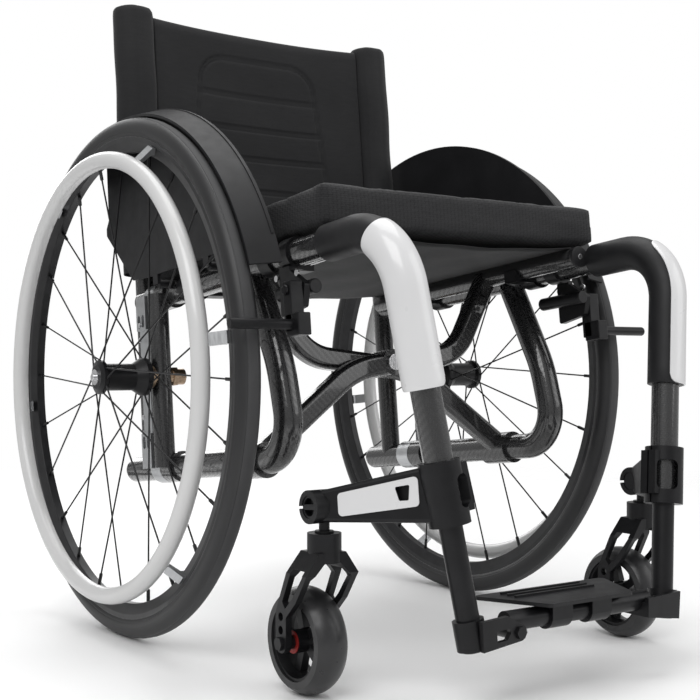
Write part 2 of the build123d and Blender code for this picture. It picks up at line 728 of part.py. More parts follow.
# Wheel lock mount on the upper tube, with the saddles that carry the seat rail
saddle_length = 20.0
saddle_spots = (-238.0, -60.0)
saddle_wall = 3.0
lock_clamp_width = 18.0
lock_plate_x = frame_x + 7.0
lock_pin_r = 4.0
lever_inner_x = lock_plate_x + lock_plate + soft_gap
lever_x = lever_inner_x + lock_knob_r
with BuildPart() as lock_mount:
    with BuildSketch(front_plane(lock_clamp_v + lock_clamp_width / 2)):
        with Locations((-frame_x, upper_w)):
            Circle(tube_r + saddle_wall)
        with Locations((-lock_plate_x - lock_plate / 2, upper_w - tube_r - 12)):
            Rectangle(lock_plate, 24)
        with Locations((-frame_x, upper_w)):
            Circle(tube_r + seat_fit, mode=Mode.SUBTRACT)
    extrude(amount=lock_clamp_width)
    with BuildSketch(side_plane(-lock_plate_x - lock_plate)):
        with BuildLine():
            FilletPolyline((lock_clamp_v + 10, upper_w - tube_r), (lock_clamp_v + 10, lock_w - 22),
                           (lock_v - 4, lock_w - 16), (lock_v - 10, lock_w + 6), (lock_clamp_v - 9, upper_w - tube_r - 4),
                           radius=3, close=True)
        make_face()
    extrude(amount=lock_plate)
    with BuildSketch(side_plane(-lever_x - lock_knob_r - 1)):
        with Locations((lock_v, lock_w)):
            Circle(lock_pin_r)
    extrude(amount=lever_x + lock_knob_r + 1 - lock_plate_x)
    extrude(rail_room(), amount=cane_v - leg_v, mode=Mode.SUBTRACT)
lock_mount_right = lock_mount.part

saddles = []
for saddle_v in saddle_spots:
    with BuildPart() as saddle:
        with BuildSketch(front_plane(saddle_v + saddle_length / 2)):
            with Locations((-frame_x, upper_w)):
                Circle(tube_r + saddle_wall)
            with Locations((-rail_x, rail_w - rail_r / 2 - saddle_wall / 2)):
                Rectangle(2 * (rail_r + saddle_wall), rail_r + saddle_wall)
            with Locations((-frame_x, upper_w)):
                Circle(tube_r + seat_fit, mode=Mode.SUBTRACT)
        extrude(amount=saddle_length)
        extrude(rail_room(), amount=cane_v - leg_v, mode=Mode.SUBTRACT)
    saddles.append(saddle.part)
save_pair(Compound(children=[lock_mount_right] + saddles), "frame_clamps")

# Wheel lock lever: knob, hanging block and the bar that presses on the tyre
lever_eye_r = 9.0
block_size = 22.0
with BuildPart() as lock_lever:
    with BuildSketch(side_plane(-lever_x - lock_knob_r)):
        with BuildLine():
            FilletPolyline((lock_v + 7, lock_w + 7), (lock_v + 7, shoe_w - block_size / 2),
                           (shoe_v - block_size / 2, shoe_w - block_size / 2),
                           (shoe_v - block_size / 2, shoe_w + block_size / 2),
                           (lock_v - 7, lock_w - 6), (lock_v - 7, lock_w + 7), radius=2, close=True)
        make_face()
        with Locations((lock_v, lock_w)):
            Circle(lever_eye_r)
    extrude(amount=2 * lock_knob_r)
    with BuildSketch(front_plane(lock_v)):
        with Locations((-lever_x, lock_w)):
            Circle(lock_knob_r)
    extrude(amount=lock_knob_length)
    fillet(lock_lever.faces().filter_by(Plane(origin=(0, 0, 0), z_dir=chassis.y_dir)).sort_by(Axis.Y)[0].edges(),
           radius=1.5)
    with BuildSketch(side_plane(-shoe_tip_x)):
        with Locations((shoe_v, shoe_w)):
            Circle(shoe_r)
    extrude(amount=shoe_tip_x - lever_x)
    fillet(lock_lever.faces().sort_by(Axis.X)[0].edges(), radius=3)
    with BuildSketch(side_plane(-shoe_tip_x)):
        with Locations((lock_v, lock_w)):
            Circle(lock_pin_r + running)
    extrude(amount=shoe_tip_x, mode=Mode.SUBTRACT)
save_pair(lock_lever.part, "lock_lever")

# Side guard: flat panel inside the wheel with a lip that follows the tyre, and two feet on the tube
guard_bottom_w = upper_w + tube_r + 4
tail_v = 97.0
guard_foot_r = 6.0
guard_feet = (-150.0, -28.0)
lip_wall = 3.0
lip_front_turn = 22.0
lip_sweep = 104.0
with BuildPart() as side_guard:
    with BuildSketch(side_plane(-guard_x - guard_wall)):
        Circle(guard_r)
        with BuildLine():
            Polyline((-2 * guard_r, guard_bottom_w), (-27, guard_bottom_w), (31, guard_bottom_w + 3),
                     (tail_v + 3, 185), (tail_v + 3, 194), (tail_v - 5, 204), (tail_v - 5, 2 * guard_r),
                     (-2 * guard_r, 2 * guard_r), close=True)
        make_face(mode=Mode.INTERSECT)
    extrude(amount=guard_wall)
    with BuildSketch(Plane(origin=(0, axle_y, axle_z), x_dir=(-1, 0, 0),
                           z_dir=Vector(0, sin(radians(lip_front_turn)), cos(radians(lip_front_turn))))) as lip:
        with BuildLine():
            Polyline((guard_x, guard_r - lip_wall), (guard_x, guard_r),
                     (guard_lip_x, guard_r - guard_lip_drop), (guard_lip_x, guard_r - guard_lip_drop - lip_wall),
                     close=True)
        make_face()
    revolve(axis=Axis((0, axle_y, axle_z), (-1, 0, 0)), revolution_arc=lip_sweep)
    for foot_v in guard_feet:
        with BuildSketch(side_plane(-guard_x - guard_wall)):
            with Locations((foot_v, guard_bottom_w - 5)):
                Rectangle(2 * guard_foot_r, 2 * guard_foot_r)
        extrude(amount=guard_wall)
        with BuildSketch(side_plane(-guard_x)):
            with Locations((foot_v, upper_w + 8)):
                Circle(guard_foot_r - 1)
        extrude(amount=guard_x - frame_x)
    with BuildSketch(front_plane(cane_v)):
        with Locations((-frame_x, upper_w)):
            Circle(tube_r + seat_fit)
    extrude(amount=-leg_v, mode=Mode.SUBTRACT)
save_pair(side_guard.part, "side_guard")

# Cross brace arms: an S shaped arm each, with a sleeve on one lower tube and a rail at its top
arm_offset = (arm_depth + arm_gap) / 2


def brace_arm(side, arm_v, hole_r):
    """Arm from the lower tube on one side to the seat rail on the other."""
    with BuildPart() as arm:
        with BuildLine(front_plane(arm_v)) as arm_path:
            FilletPolyline((side * frame_x, lower_w), (side * knee_x, knee_w),
                           (-side * shoulder_x, shoulder_w), (-side * rail_x, rail_w), radius=[110, 60])
        with BuildSketch(Plane(origin=arm_path.line @ 0, x_dir=chassis.y_dir, z_dir=arm_path.line % 0)):
            RectangleRounded(arm_depth, arm_height, 6)
        sweep(path=arm_path.line)
        with BuildSketch(front_plane(arm_v + arm_depth / 2)):
            with Locations((0, pivot_w)):
                Circle(arm_height / 2 + 2.5)
        extrude(amount=arm_depth)
        with BuildSketch(front_plane(arm_v + sleeve_length / 2)):
            with Locations((side * frame_x, lower_w)):
                Circle(lower_tube_r + running + sleeve_wall)
        extrude(amount=sleeve_length)
        with BuildSketch(front_plane(arm_v + sleeve_length)):
            with Locations((side * frame_x, lower_w)):
                Circle(lower_tube_r + running)
            with Locations((-side * rail_x, rail_w)):
                Circle(rail_r + seat_fit)
            with Locations((0, pivot_w)):
                Circle(hole_r)
        extrude(amount=2 * sleeve_length, mode=Mode.SUBTRACT)
        split(bisect_by=Plane(origin=spot(-side * (rail_x + rail_r * 0.6), 0, 0), z_dir=(side, 0, 0)),
              keep=Keep.TOP)
    return arm.part


def seat_rail(x):
    """Round seat rail with a wider cap at each end."""
    with BuildPart() as rail:
        with BuildSketch(front_plane(rail_rear_v)):
            with Locations((x, rail_w)):
                Circle(rail_r)
        extrude(amount=rail_rear_v - rail_front_v)
        fillet(rail.edges().filter_by(GeomType.CIRCLE), radius=1.2)
    return rail.part


front_arm = brace_arm(-1, pivot_v - arm_offset, pivot_r + seat_fit)
rear_arm = brace_arm(1, pivot_v + arm_offset, pivot_r + running)
save(Compound(children=[front_arm, seat_rail(rail_x)]), "front_cross_arm")
save(Compound(children=[rear_arm, seat_rail(-rail_x)]), "rear_cross_arm")

# Pivot pin of the cross brace, with a cap at each end
cap_thickness = 4.0
stack = 2 * arm_depth + arm_gap
with BuildPart() as cross_pivot:
    with BuildSketch(front_plane(pivot_v + stack / 2 + cap_thickness)):
        with Locations((0, pivot_w)):
            Circle(pivot_r)
    extrude(amount=stack + 2 * cap_thickness)
    for start in (pivot_v + stack / 2 + cap_thickness + soft_gap, pivot_v - stack / 2 - soft_gap):
        with BuildSketch(front_plane(start)):
            with Locations((0, pivot_w)):
                Circle(pivot_cap_r)
        extrude(amount=cap_thickness)
    fillet(cross_pivot.faces().sort_by(Axis.Y)[0].edges(), radius=1.2)
    with BuildSketch(front_plane(pivot_v)):
        with Locations((0, pivot_w)):
            Circle(pivot_cap_r)
    extrude(amount=arm_gap / 2 - soft_gap, both=True)
save(cross_pivot.part, "cross_pivot")

# Footrest brackets: a clamp on each leg tube, one with the flip pivot and one with the open catch
bracket_top = rest_tube_length - 2 - bracket_height
lug_plate_y = axle_y + crossbar_y - crossbar_r - 3.5
lug_plate_wall = 5.0
leg_foot = leg_station(rest_tube_length - bracket_height / 2).origin
leg_foot_x = -leg_foot.X
pin_front_y = lug_plate_y - lug_plate_wall - 3
pin_rear_y = axle_y + crossbar_y + crossbar_r + 2


def bracket_clamp():
    """Ring on the right footrest tube, bored for it."""
    with BuildPart() as ring:
        with BuildSketch(leg_station(bracket_top)):
            Circle(rest_tube_r + bracket_wall)
        extrude(amount=bracket_height)
    return ring.part


def tube_bore():
    with BuildPart() as bore:
        with BuildSketch(leg_station(bracket_top - 40)):
            Circle(rest_tube_r + seat_fit)
        extrude(amount=bracket_height + 80)
    return bore.part


bar_view = Plane(origin=(0, lug_plate_y, 0), x_dir=(1, 0, 0), z_dir=(0, -1, 0))
with BuildPart() as flip_bracket:
    add(bracket_clamp())
    with BuildSketch(bar_view):
        with BuildLine():
            Polyline((-leg_foot_x - 4, flip_z + 14), (-flip_x - 14, flip_z + 16), (-flip_x, flip_z + knuckle_r),
                     (-flip_x, flip_z - knuckle_r), (-leg_foot_x - 2, flip_z - 13), close=True)
        make_face()
        with Locations((-flip_x, flip_z)):
            Circle(knuckle_r)
        with BuildLine():
            FilletPolyline((-leg_foot_x + 13, flip_z + 4), (-flip_x - 13, flip_z + 5), (-flip_x - 11, flip_z + 1),
                           (-flip_x - 15, flip_z - 5), (-leg_foot_x + 14, flip_z - 6), radius=1, close=True)
        make_face(mode=Mode.SUBTRACT)
    extrude(amount=lug_plate_wall)
    add(tube_bore(), mode=Mode.SUBTRACT)
    with BuildSketch(Plane(origin=(-flip_x, pin_rear_y, flip_z), x_dir=(1, 0, 0), z_dir=(0, -1, 0))):
        Circle(flip_pin_r)
    extrude(amount=pin_rear_y - lug_plate_y + lug_plate_wall)
    with BuildSketch(Plane(origin=(-flip_x, lug_plate_y - lug_plate_wall, flip_z), x_dir=(1, 0, 0), z_dir=(0, -1, 0))):
        RegularPolygon(flip_pin_r + 2, 6)
    extrude(amount=3)
save(flip_bracket.part, "right_footrest_bracket")

catch_inner = crossbar_end - 14.0
catch_half = crossbar_r + 4.0
catch_floor = crossbar_z - crossbar_r - 4.5
with BuildPart() as catch_bracket:
    add(mirror(bracket_clamp(), about=Plane.YZ))
    with BuildSketch(bar_view):
        with BuildLine():
            Polyline((leg_foot_x + 4, flip_z + 14), (catch_inner, flip_z + 12), (catch_inner, catch_floor),
                     (leg_foot_x + 2, flip_z - 13), close=True)
        make_face()
    extrude(amount=lug_plate_wall)
    with BuildSketch(Plane(origin=(0, axle_y + crossbar_y, catch_floor))):
        with Locations(((catch_inner + leg_foot_x) / 2, 0)):
            Rectangle(leg_foot_x - catch_inner, 2 * catch_half)
    extrude(amount=crossbar_z - catch_floor)
    with BuildSketch(Plane(origin=(catch_inner - 5, axle_y + crossbar_y, 0), x_dir=(0, 1, 0), z_dir=(1, 0, 0))):
        with Locations((0, crossbar_z)):
            Circle(crossbar_r + soft_gap)
        with Locations((0, crossbar_z + 15)):
            Rectangle(2 * (crossbar_r + soft_gap), 30)
    extrude(amount=crossbar_end - catch_inner + 7, mode=Mode.SUBTRACT)
    add(mirror(tube_bore(), about=Plane.YZ), mode=Mode.SUBTRACT)
save(catch_bracket.part, "left_footrest_bracket")

# Crossbar of the footrest, with its pivot knuckle and two clamps under the plate
clamp_spots = (-27.0, 25.0)
bar_clamp_length = 26.0
bar_clamp_wall = 3.0
plate_z = crossbar_z + crossbar_r + bar_clamp_wall
knuckle_front = lug_plate_y + soft_gap
with BuildPart() as crossbar:
    with BuildSketch(Plane(origin=(-flip_x - 3, axle_y + crossbar_y, crossbar_z), x_dir=(0, 1, 0), z_dir=(1, 0, 0))):
        Circle(crossbar_r)
    extrude(amount=flip_x + 3 + crossbar_end)
    with BuildSketch(Plane(origin=(-flip_x, knuckle_front, flip_z), x_dir=(-1, 0, 0), z_dir=(0, 1, 0))):
        Circle(knuckle_r)
    extrude(amount=pin_rear_y - 2 - knuckle_front)
    for clamp_x in clamp_spots:
        with BuildSketch(Plane(origin=(clamp_x - bar_clamp_length / 2, axle_y + crossbar_y, crossbar_z),
                               x_dir=(0, 1, 0), z_dir=(1, 0, 0))):
            Circle(crossbar_r + bar_clamp_wall)
            with Locations((0, crossbar_r / 2)):
                Rectangle(2 * (crossbar_r + bar_clamp_wall), crossbar_r + 2 * bar_clamp_wall - 0.001)
        extrude(amount=bar_clamp_length)
    with BuildSketch(Plane(origin=(-flip_x, knuckle_front - 5, flip_z), x_dir=(-1, 0, 0), z_dir=(0, 1, 0))):
        Circle(flip_pin_r + running)
    extrude(amount=pin_rear_y - knuckle_front + 10, mode=Mode.SUBTRACT)
save(crossbar.part, "footrest_crossbar")

# Footplate with three grip ribs
rib_width = 3.0
rib_pitch = 10.0
rib_length = 105.0
with BuildPart() as footplate:
    with BuildSketch(Plane(origin=(0, axle_y, plate_z))):
        with BuildLine():
            FilletPolyline((-plate_rear_half, -plate_front + plate_depth), (-plate_front_half, -plate_front),
                           (plate_front_half, -plate_front), (plate_rear_half, -plate_front + plate_depth),
                           radius=5, close=True)
        make_face()
    extrude(amount=plate_thickness)
    with BuildSketch(Plane(origin=(0, axle_y - plate_front + plate_depth, plate_z + plate_thickness))):
        with Locations([(-8, -rib_pitch * (i + 1)) for i in range(3)]):
            SlotOverall(rib_length, rib_width)
    extrude(amount=rib_height)
save(footplate.part, "footplate")

# Seat sling on the rails
sling_w = rail_w + rail_r + soft_gap
with BuildPart() as seat_sling:
    with BuildSketch(Plane(origin=spot(0, 0, sling_w), x_dir=(1, 0, 0), z_dir=chassis.z_dir)):
        with Locations((0, (rail_front_v + 8 + rail_rear_v) / 2)):
            Rectangle(2 * (rail_x + rail_r - 2), rail_rear_v - rail_front_v - 8)
    extrude(amount=sling_thickness)
save(seat_sling.part, "seat_sling")

# Cushion on the sling
cushion_w = sling_w + sling_thickness + soft_gap
with BuildPart() as seat_cushion:
    with BuildSketch(Plane(origin=spot(0, 0, cushion_w), x_dir=(1, 0, 0), z_dir=chassis.z_dir)):
        with Locations((0, (cushion_front_v + cushion_rear_v) / 2)):
            RectangleRounded(2 * cushion_half, cushion_rear_v - cushion_front_v, 14)
    extrude(amount=cushion_thickness)
    fillet(seat_cushion.faces().sort_by(Axis.Z)[-1].edges(), radius=8)
save(seat_cushion.part, "seat_cushion")

# Back upholstery: a padded sleeve on each cane and the panel between them
with BuildPart() as back_sleeve:
    with BuildSketch(Plane(origin=spot(-cane_x, cane_v, sleeve_bottom_w), x_dir=(1, 0, 0), z_dir=chassis.z_dir)):
        Circle(sleeve_pad_r)
    extrude(amount=cane_top_w + 5 - sleeve_bottom_w)
    fillet(back_sleeve.faces().sort_by(Axis.Z)[-1].edges(), radius=6)
    with BuildSketch(Plane(origin=spot(-cane_x, cane_v, 0), x_dir=(1, 0, 0), z_dir=chassis.z_dir)):
        Circle(cane_r + soft_gap)
    extrude(amount=cane_top_w + soft_gap, mode=Mode.SUBTRACT)
save_pair(back_sleeve.part, "back_sleeve")

panel_half = cane_x - sleeve_pad_r - soft_gap
with BuildPart() as back_panel:
    with BuildSketch(Plane(origin=spot(0, 0, panel_bottom_w), x_dir=(1, 0, 0), z_dir=chassis.z_dir)):
        with Locations((0, cane_v)):
            Rectangle(2 * panel_half, panel_thickness)
    extrude(amount=panel_top_w - panel_bottom_w)
    fillet(back_panel.edges().filter_by(Axis.X), radius=4)
save(back_panel.part, "back_panel")
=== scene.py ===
import json
import bmesh
import bpy
from math import atan2, cos, exp, pi, radians, sin, sqrt
from mathutils import Matrix, Vector


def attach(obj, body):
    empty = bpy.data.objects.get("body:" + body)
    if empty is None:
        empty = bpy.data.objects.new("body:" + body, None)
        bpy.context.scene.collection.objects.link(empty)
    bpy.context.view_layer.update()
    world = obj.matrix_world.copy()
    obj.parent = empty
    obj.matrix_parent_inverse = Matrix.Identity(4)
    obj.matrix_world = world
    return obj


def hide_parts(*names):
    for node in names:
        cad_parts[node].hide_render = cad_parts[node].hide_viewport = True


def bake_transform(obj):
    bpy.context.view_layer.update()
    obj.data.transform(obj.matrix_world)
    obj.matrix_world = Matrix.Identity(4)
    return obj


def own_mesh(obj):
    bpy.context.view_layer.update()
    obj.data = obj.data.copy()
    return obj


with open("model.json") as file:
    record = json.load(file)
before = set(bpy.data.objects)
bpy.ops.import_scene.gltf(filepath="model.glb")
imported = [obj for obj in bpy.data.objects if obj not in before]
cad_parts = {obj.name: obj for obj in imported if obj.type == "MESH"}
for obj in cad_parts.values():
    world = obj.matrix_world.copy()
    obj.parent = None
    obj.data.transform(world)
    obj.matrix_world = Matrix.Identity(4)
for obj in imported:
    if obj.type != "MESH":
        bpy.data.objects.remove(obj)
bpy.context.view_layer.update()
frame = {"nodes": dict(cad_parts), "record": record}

nodes = frame["nodes"]

# The seat's own slope: v runs rearward along the side frames, w upward, both from the axle
chair = {
    "slope": radians(6.0),
    "axle": Vector((0.0, 0.1005, 0.295)),
    "wheelX": 0.2484,
    "casterX": 0.2144,
    "casterY": -0.2338,
    "casterR": 0.0508,
    "caneX": 0.181,
    "caneV": 0.069,
}
alongV = Vector((0, cos(chair["slope"]), -sin(chair["slope"])))
alongW = Vector((0, sin(chair["slope"]), cos(chair["slope"])))


def seatPoint(x, v, w):
    return chair["axle"] + Vector((x, 0, 0)) + alongV * v + alongW * w


# Stage: floor, backdrop, camera and lamps
stage = {
    "camera": (-0.8516, -1.2113, 0.3127),
    "yaw": -35.1,
    "tiltUp": 0.54,
    "lens": 63.51,
    "floorColour": (0.93, 0.93, 0.93),
    "floorFade": (0.75, 2.3),
    "floorSize": 5,
    "aimHeight": 0.35,
    "worldLight": 0.52,
    "lamps": [  # name, place, size, watts
        ("keyLamp", (-2.2, -1.6, 2.6), 2.2, 52),
        ("fillLamp", (1.9, -2.4, 1.9), 2.4, 26),
        ("topLamp", (0.2, 0.4, 3.2), 2.6, 46),
        ("rimLamp", (0.6, 2.8, 1.6), 2.0, 30),
    ],
}


class Val:
    # a node socket that adds, multiplies and compares like a number
    def __init__(self, mat, socket):
        self.mat = mat
        self.socket = socket

    def sum(self, operation, *others):
        return self.mat.add("ShaderNodeMath", {"operation": operation}, self, *others)

    def __add__(self, other): return self.sum("ADD", other)
    def __sub__(self, other): return self.sum("SUBTRACT", other)
    def __rsub__(self, other): return self.mat.add("ShaderNodeMath", {"operation": "SUBTRACT"}, other, self)
    def __mul__(self, other): return self.sum("MULTIPLY", other)
    def __truediv__(self, other): return self.sum("DIVIDE", other)
    def __pow__(self, other): return self.sum("POWER", other)
    def __mod__(self, other): return self.sum("FLOORED_MODULO", other)
    def __lt__(self, other): return self.sum("LESS_THAN", other)
    def __gt__(self, other): return self.sum("GREATER_THAN", other)
    def __abs__(self): return self.sum("ABSOLUTE")


class Finish:
    # one material, built by adding nodes in front of its shader
    def __init__(self, name, colour, rough, metal=0.0, coat=0.0, coatRough=0.05, specular=0.5):
        self.material = bpy.data.materials.new(name)
        self.material.use_nodes = True
        self.tree = self.material.node_tree
        self.shader = self.tree.nodes["Principled BSDF"]
        self.shader.inputs["Base Color"].default_value = (*colour, 1)
        self.shader.inputs["Roughness"].default_value = rough
        self.shader.inputs["Metallic"].default_value = metal
        self.shader.inputs["Coat Weight"].default_value = coat
        self.shader.inputs["Coat Roughness"].default_value = coatRough
        self.shader.inputs["Specular IOR Level"].default_value = specular

    def add(self, kind, settings, *values, out=0, **named):
        node = self.tree.nodes.new(kind)
        for key, value in settings.items():
            setattr(node, key, value)
        for i, value in enumerate(values):
            self.join(node.inputs[i], value)
        for key, value in named.items():
            self.join(node.inputs[key.replace("_", " ")], value)
        return Val(self, node.outputs[out])

    def join(self, socket, value):
        if isinstance(value, Val):
            self.tree.links.new(value.socket, socket)
        else:
            socket.default_value = value

    def feed(self, name, value):
        self.join(self.shader.inputs[name], value)

    def place(self):
        # x, y and z of the object, in metres
        spot = self.add("ShaderNodeTexCoord", {}, out=3)
        parts = self.tree.nodes.new("ShaderNodeSeparateXYZ")
        self.tree.links.new(spot.socket, parts.inputs[0])
        return [Val(self, parts.outputs[i]) for i in range(3)]

    def facing(self):
        # how far the surface faces along x, y and z
        look = self.add("ShaderNodeNewGeometry", {}, out=1)
        parts = self.tree.nodes.new("ShaderNodeSeparateXYZ")
        self.tree.links.new(look.socket, parts.inputs[0])
        return [Val(self, parts.outputs[i]) for i in range(3)]

    def speckle(self, scale, detail=3.0, rough=0.55):
        spot = self.add("ShaderNodeTexCoord", {}, out=3)
        return self.add("ShaderNodeTexNoise", {}, Vector=spot, Scale=scale, Detail=detail, Roughness=rough)

    def vector(self, x, y, z):
        return self.add("ShaderNodeCombineXYZ", {}, x, y, z)

    def blend(self, amount, first, second):
        # colour between two colours
        node = self.tree.nodes.new("ShaderNodeMix")
        node.data_type = "RGBA"
        self.join(node.inputs[0], amount)
        for socket, value in ((node.inputs[6], first), (node.inputs[7], second)):
            self.join(socket, value if isinstance(value, Val) else (*value, 1))
        return Val(self, node.outputs[2])

    def limit(self, value, low, high, toLow=0.0, toHigh=1.0):
        return self.add("ShaderNodeMapRange", {"clamp": True}, value, low, high, toLow, toHigh)

    def bumps(self, height, strength, distance):
        self.feed("Normal", self.add("ShaderNodeBump", {}, Strength=strength, Distance=distance,
                                     Height=height))

    def radius(self):
        # distance from the rear axle line, and from the wheel's middle plane
        x, y, z = self.place()
        across = y - chair["axle"].y
        up = z - chair["axle"].z
        return (across * across + up * up) ** 0.5, abs(abs(x) - chair["wheelX"])


def smallVariation(finish, colour, spread, scale, roughness, roughSpread):
    # slow change of tone and shine over a plain surface
    cloud = finish.speckle(scale)
    tone = finish.limit(cloud, 0.3, 0.7)
    darker = tuple(c * (1 - spread) for c in colour)
    lighter = tuple(min(1, c * (1 + spread)) for c in colour)
    finish.feed("Base Color", finish.blend(tone, darker, lighter))
    shine = finish.speckle(scale * 2.7)
    finish.feed("Roughness", finish.limit(shine, 0.3, 0.7, roughness - roughSpread, roughness + roughSpread))


def carbonFinish(name="carbonWeave", cell=0.0021, gloss=0.16):
    # twill: each yarn passes over two and under two of the yarns that cross it
    finish = Finish(name, (0.02, 0.02, 0.02), 0.3, coat=1.0, coatRough=0.04)
    x, y, z = finish.place()
    nx, _, nz = finish.facing()
    sideways = abs(nx) > 0.62
    upward = abs(nz) > 0.75
    u = (y * sideways + x * (1 - sideways)) / cell
    v = (z * (1 - upward) + y * upward) / cell
    column = u.sum("FLOOR")
    row = v.sum("FLOOR")
    warp = ((column + row) % 4) < 1.5
    acrossYarn = (u - column - 0.5) * warp + (v - row - 0.5) * (1 - warp)
    crown = 1 - acrossYarn * acrossYarn * 3.2
    # painted sheen: warp and weft yarns get different base colours, standing in for how differently each
    # direction reflects light
    paintedYarnSheen = finish.blend(warp, (0.004, 0.004, 0.005), (0.016, 0.016, 0.017))
    # painted shade: each yarn is lighter on its crown and darker at its sides, where it dips beside the
    # crossing yarns
    finish.feed("Base Color", finish.blend(crown, (0.004, 0.004, 0.004), paintedYarnSheen))
    finish.feed("Roughness", finish.limit(warp, 0, 1, gloss + 0.3, gloss + 0.08))
    finish.bumps(crown, 0.25, 0.0002)
    return finish.material


def satinBlackFinish(name="satinBlack", colour=(0.008, 0.008, 0.009), roughness=0.36, grain=0.12):
    finish = Finish(name, colour, roughness, metal=0.25, specular=0.32)
    smallVariation(finish, colour, 0.22, 38, roughness, 0.06)
    finish.bumps(finish.speckle(1400, 2.0), grain, 0.00012)
    return finish.material


def matteBlackFinish(name="mouldedBlack", colour=(0.009, 0.009, 0.010), roughness=0.46):
    finish = Finish(name, colour, roughness, specular=0.3)
    smallVariation(finish, colour, 0.2, 22, roughness, 0.05)
    finish.bumps(finish.speckle(900, 3.0), 0.22, 0.0002)
    return finish.material


def silverFinish(name="turnedAluminium", colour=(0.56, 0.57, 0.58), roughness=0.34):
    finish = Finish(name, colour, roughness, metal=1.0)
    x, y, z = finish.place()
    drawn = finish.vector(x * 900, y * 90, z * 90)
    streak = finish.add("ShaderNodeTexNoise", {}, Vector=drawn, Scale=1.0, Detail=2.0)
    duller = tuple(c * 0.88 for c in colour)
    finish.feed("Base Color", finish.blend(finish.limit(streak, 0.3, 0.7), duller, colour))
    finish.feed("Roughness", finish.limit(streak, 0.3, 0.7, roughness - 0.06, roughness + 0.1))
    finish.bumps(streak, 0.08, 0.0001)
    return finish.material


def bronzeFinish(name="turnedBronze"):
    finish = Finish(name, (0.42, 0.30, 0.20), 0.32, metal=1.0)
    smallVariation(finish, (0.42, 0.31, 0.22), 0.2, 120, 0.32, 0.08)
    return finish.material


def whiteFinish(name="glossWhite", colour=(0.64, 0.64, 0.645), roughness=0.3):
    finish = Finish(name, colour, roughness, coat=0.6, coatRough=0.06)
    smallVariation(finish, colour, 0.015, 16, roughness, 0.04)
    finish.bumps(finish.speckle(520, 2.0), 0.05, 0.0001)
    return finish.material


def tyreFinish(name="tyreRubber"):
    # pale worn tread band between darker sidewalls, with fine grooves round the wheel
    finish = Finish(name, (0.03, 0.03, 0.03), 0.6)
    radius, aside = finish.radius()
    tread = finish.limit(aside, 0.0052, 0.0062, 1, 0)
    shoulder = finish.limit(aside, 0.0062, 0.0088, 1, 0)
    wear = finish.speckle(46, 4.0)
    wall = finish.blend(wear, (0.006, 0.006, 0.007), (0.012, 0.012, 0.013))
    grey = finish.blend(wear, (0.030, 0.030, 0.031), (0.050, 0.050, 0.052))
    finish.feed("Base Color", finish.blend(tread, finish.blend(shoulder * 0.3, wall, grey), grey))
    finish.feed("Roughness", finish.limit(tread + wear * 0.3, 0, 1.2, 0.42, 0.7))
    groove = finish.limit(abs(aside - 0.0059), 0.0002, 0.0006, 0, 1)
    bead = finish.limit(abs(radius - 0.2765), 0.0003, 0.0008, 0, 1)
    grit = finish.speckle(700, 2.0) * 0.12
    finish.bumps(groove * bead + grit, 0.6, 0.0006)
    return finish.material


def rimFinish(name="rimGrey"):
    # grey box section with a bright machined edge beside the tyre
    finish = Finish(name, (0.05, 0.05, 0.052), 0.34, metal=0.6)
    radius, aside = finish.radius()
    edge = finish.limit(abs(radius - 0.2745), 0.0012, 0.0016, 1, 0) * (aside > 0.0080)
    cloud = finish.speckle(60)
    body = finish.blend(finish.limit(cloud, 0.3, 0.7), (0.018, 0.018, 0.019), (0.028, 0.028, 0.030))
    finish.feed("Base Color", finish.blend(edge, body, (0.78, 0.78, 0.79)))
    finish.feed("Metallic", finish.limit(edge, 0, 1, 0.45, 1.0))
    finish.feed("Roughness", finish.limit(edge + cloud * 0.1, 0, 1, 0.36, 0.24))
    return finish.material


def casterRubberFinish(name="casterRubber"):
    finish = Finish(name, (0.02, 0.02, 0.021), 0.3)
    smallVariation(finish, (0.018, 0.018, 0.019), 0.25, 45, 0.34, 0.07)
    finish.bumps(finish.speckle(500, 2.0), 0.05, 0.0001)
    return finish.material


def clothFinish(name, dark, light, thread=0.0011, roughness=0.85, weaveDepth=0.35, stretchX=1.0):
    # plain weave seen from whichever side the cloth faces
    finish = Finish(name, dark, roughness, specular=0.25)
    finish.shader.inputs["Sheen Weight"].default_value = 0.08
    finish.shader.inputs["Sheen Roughness"].default_value = 0.5
    x, y, z = finish.place()
    nx, _, nz = finish.facing()
    sideways = abs(nx) > 0.7
    upward = abs(nz) > 0.7
    u = (y * sideways + x * (1 - sideways)) / (thread * stretchX)
    v = (z * (1 - upward) + y * upward) / thread
    column = u.sum("FLOOR")
    row = v.sum("FLOOR")
    over = ((column + row) % 2) < 0.5
    lift = (((u - column) * pi).sum("SINE")) * over + (((v - row) * pi).sum("SINE")) * (1 - over)
    drawn = finish.vector(x * 60, y * 60, z * 420)
    slub = finish.add("ShaderNodeTexNoise", {}, Vector=drawn, Scale=1.0, Detail=3.0)
    mottle = finish.speckle(14, 4.0, 0.6)
    # the tone mixes painted shade (lighter thread crowns, darker dips between threads) with the yarn's own
    # slubs and mottled stains
    tone = lift * 0.35 + slub * 0.5 + mottle * 0.35
    finish.feed("Base Color", finish.blend(finish.limit(tone, 0.3, 1.0), dark, light))
    finish.feed("Roughness", finish.limit(mottle, 0.3, 0.7, roughness - 0.08, roughness + 0.06))
    finish.bumps(lift * 0.6 + slub * 0.6, weaveDepth, 0.0006)
    return finish.material


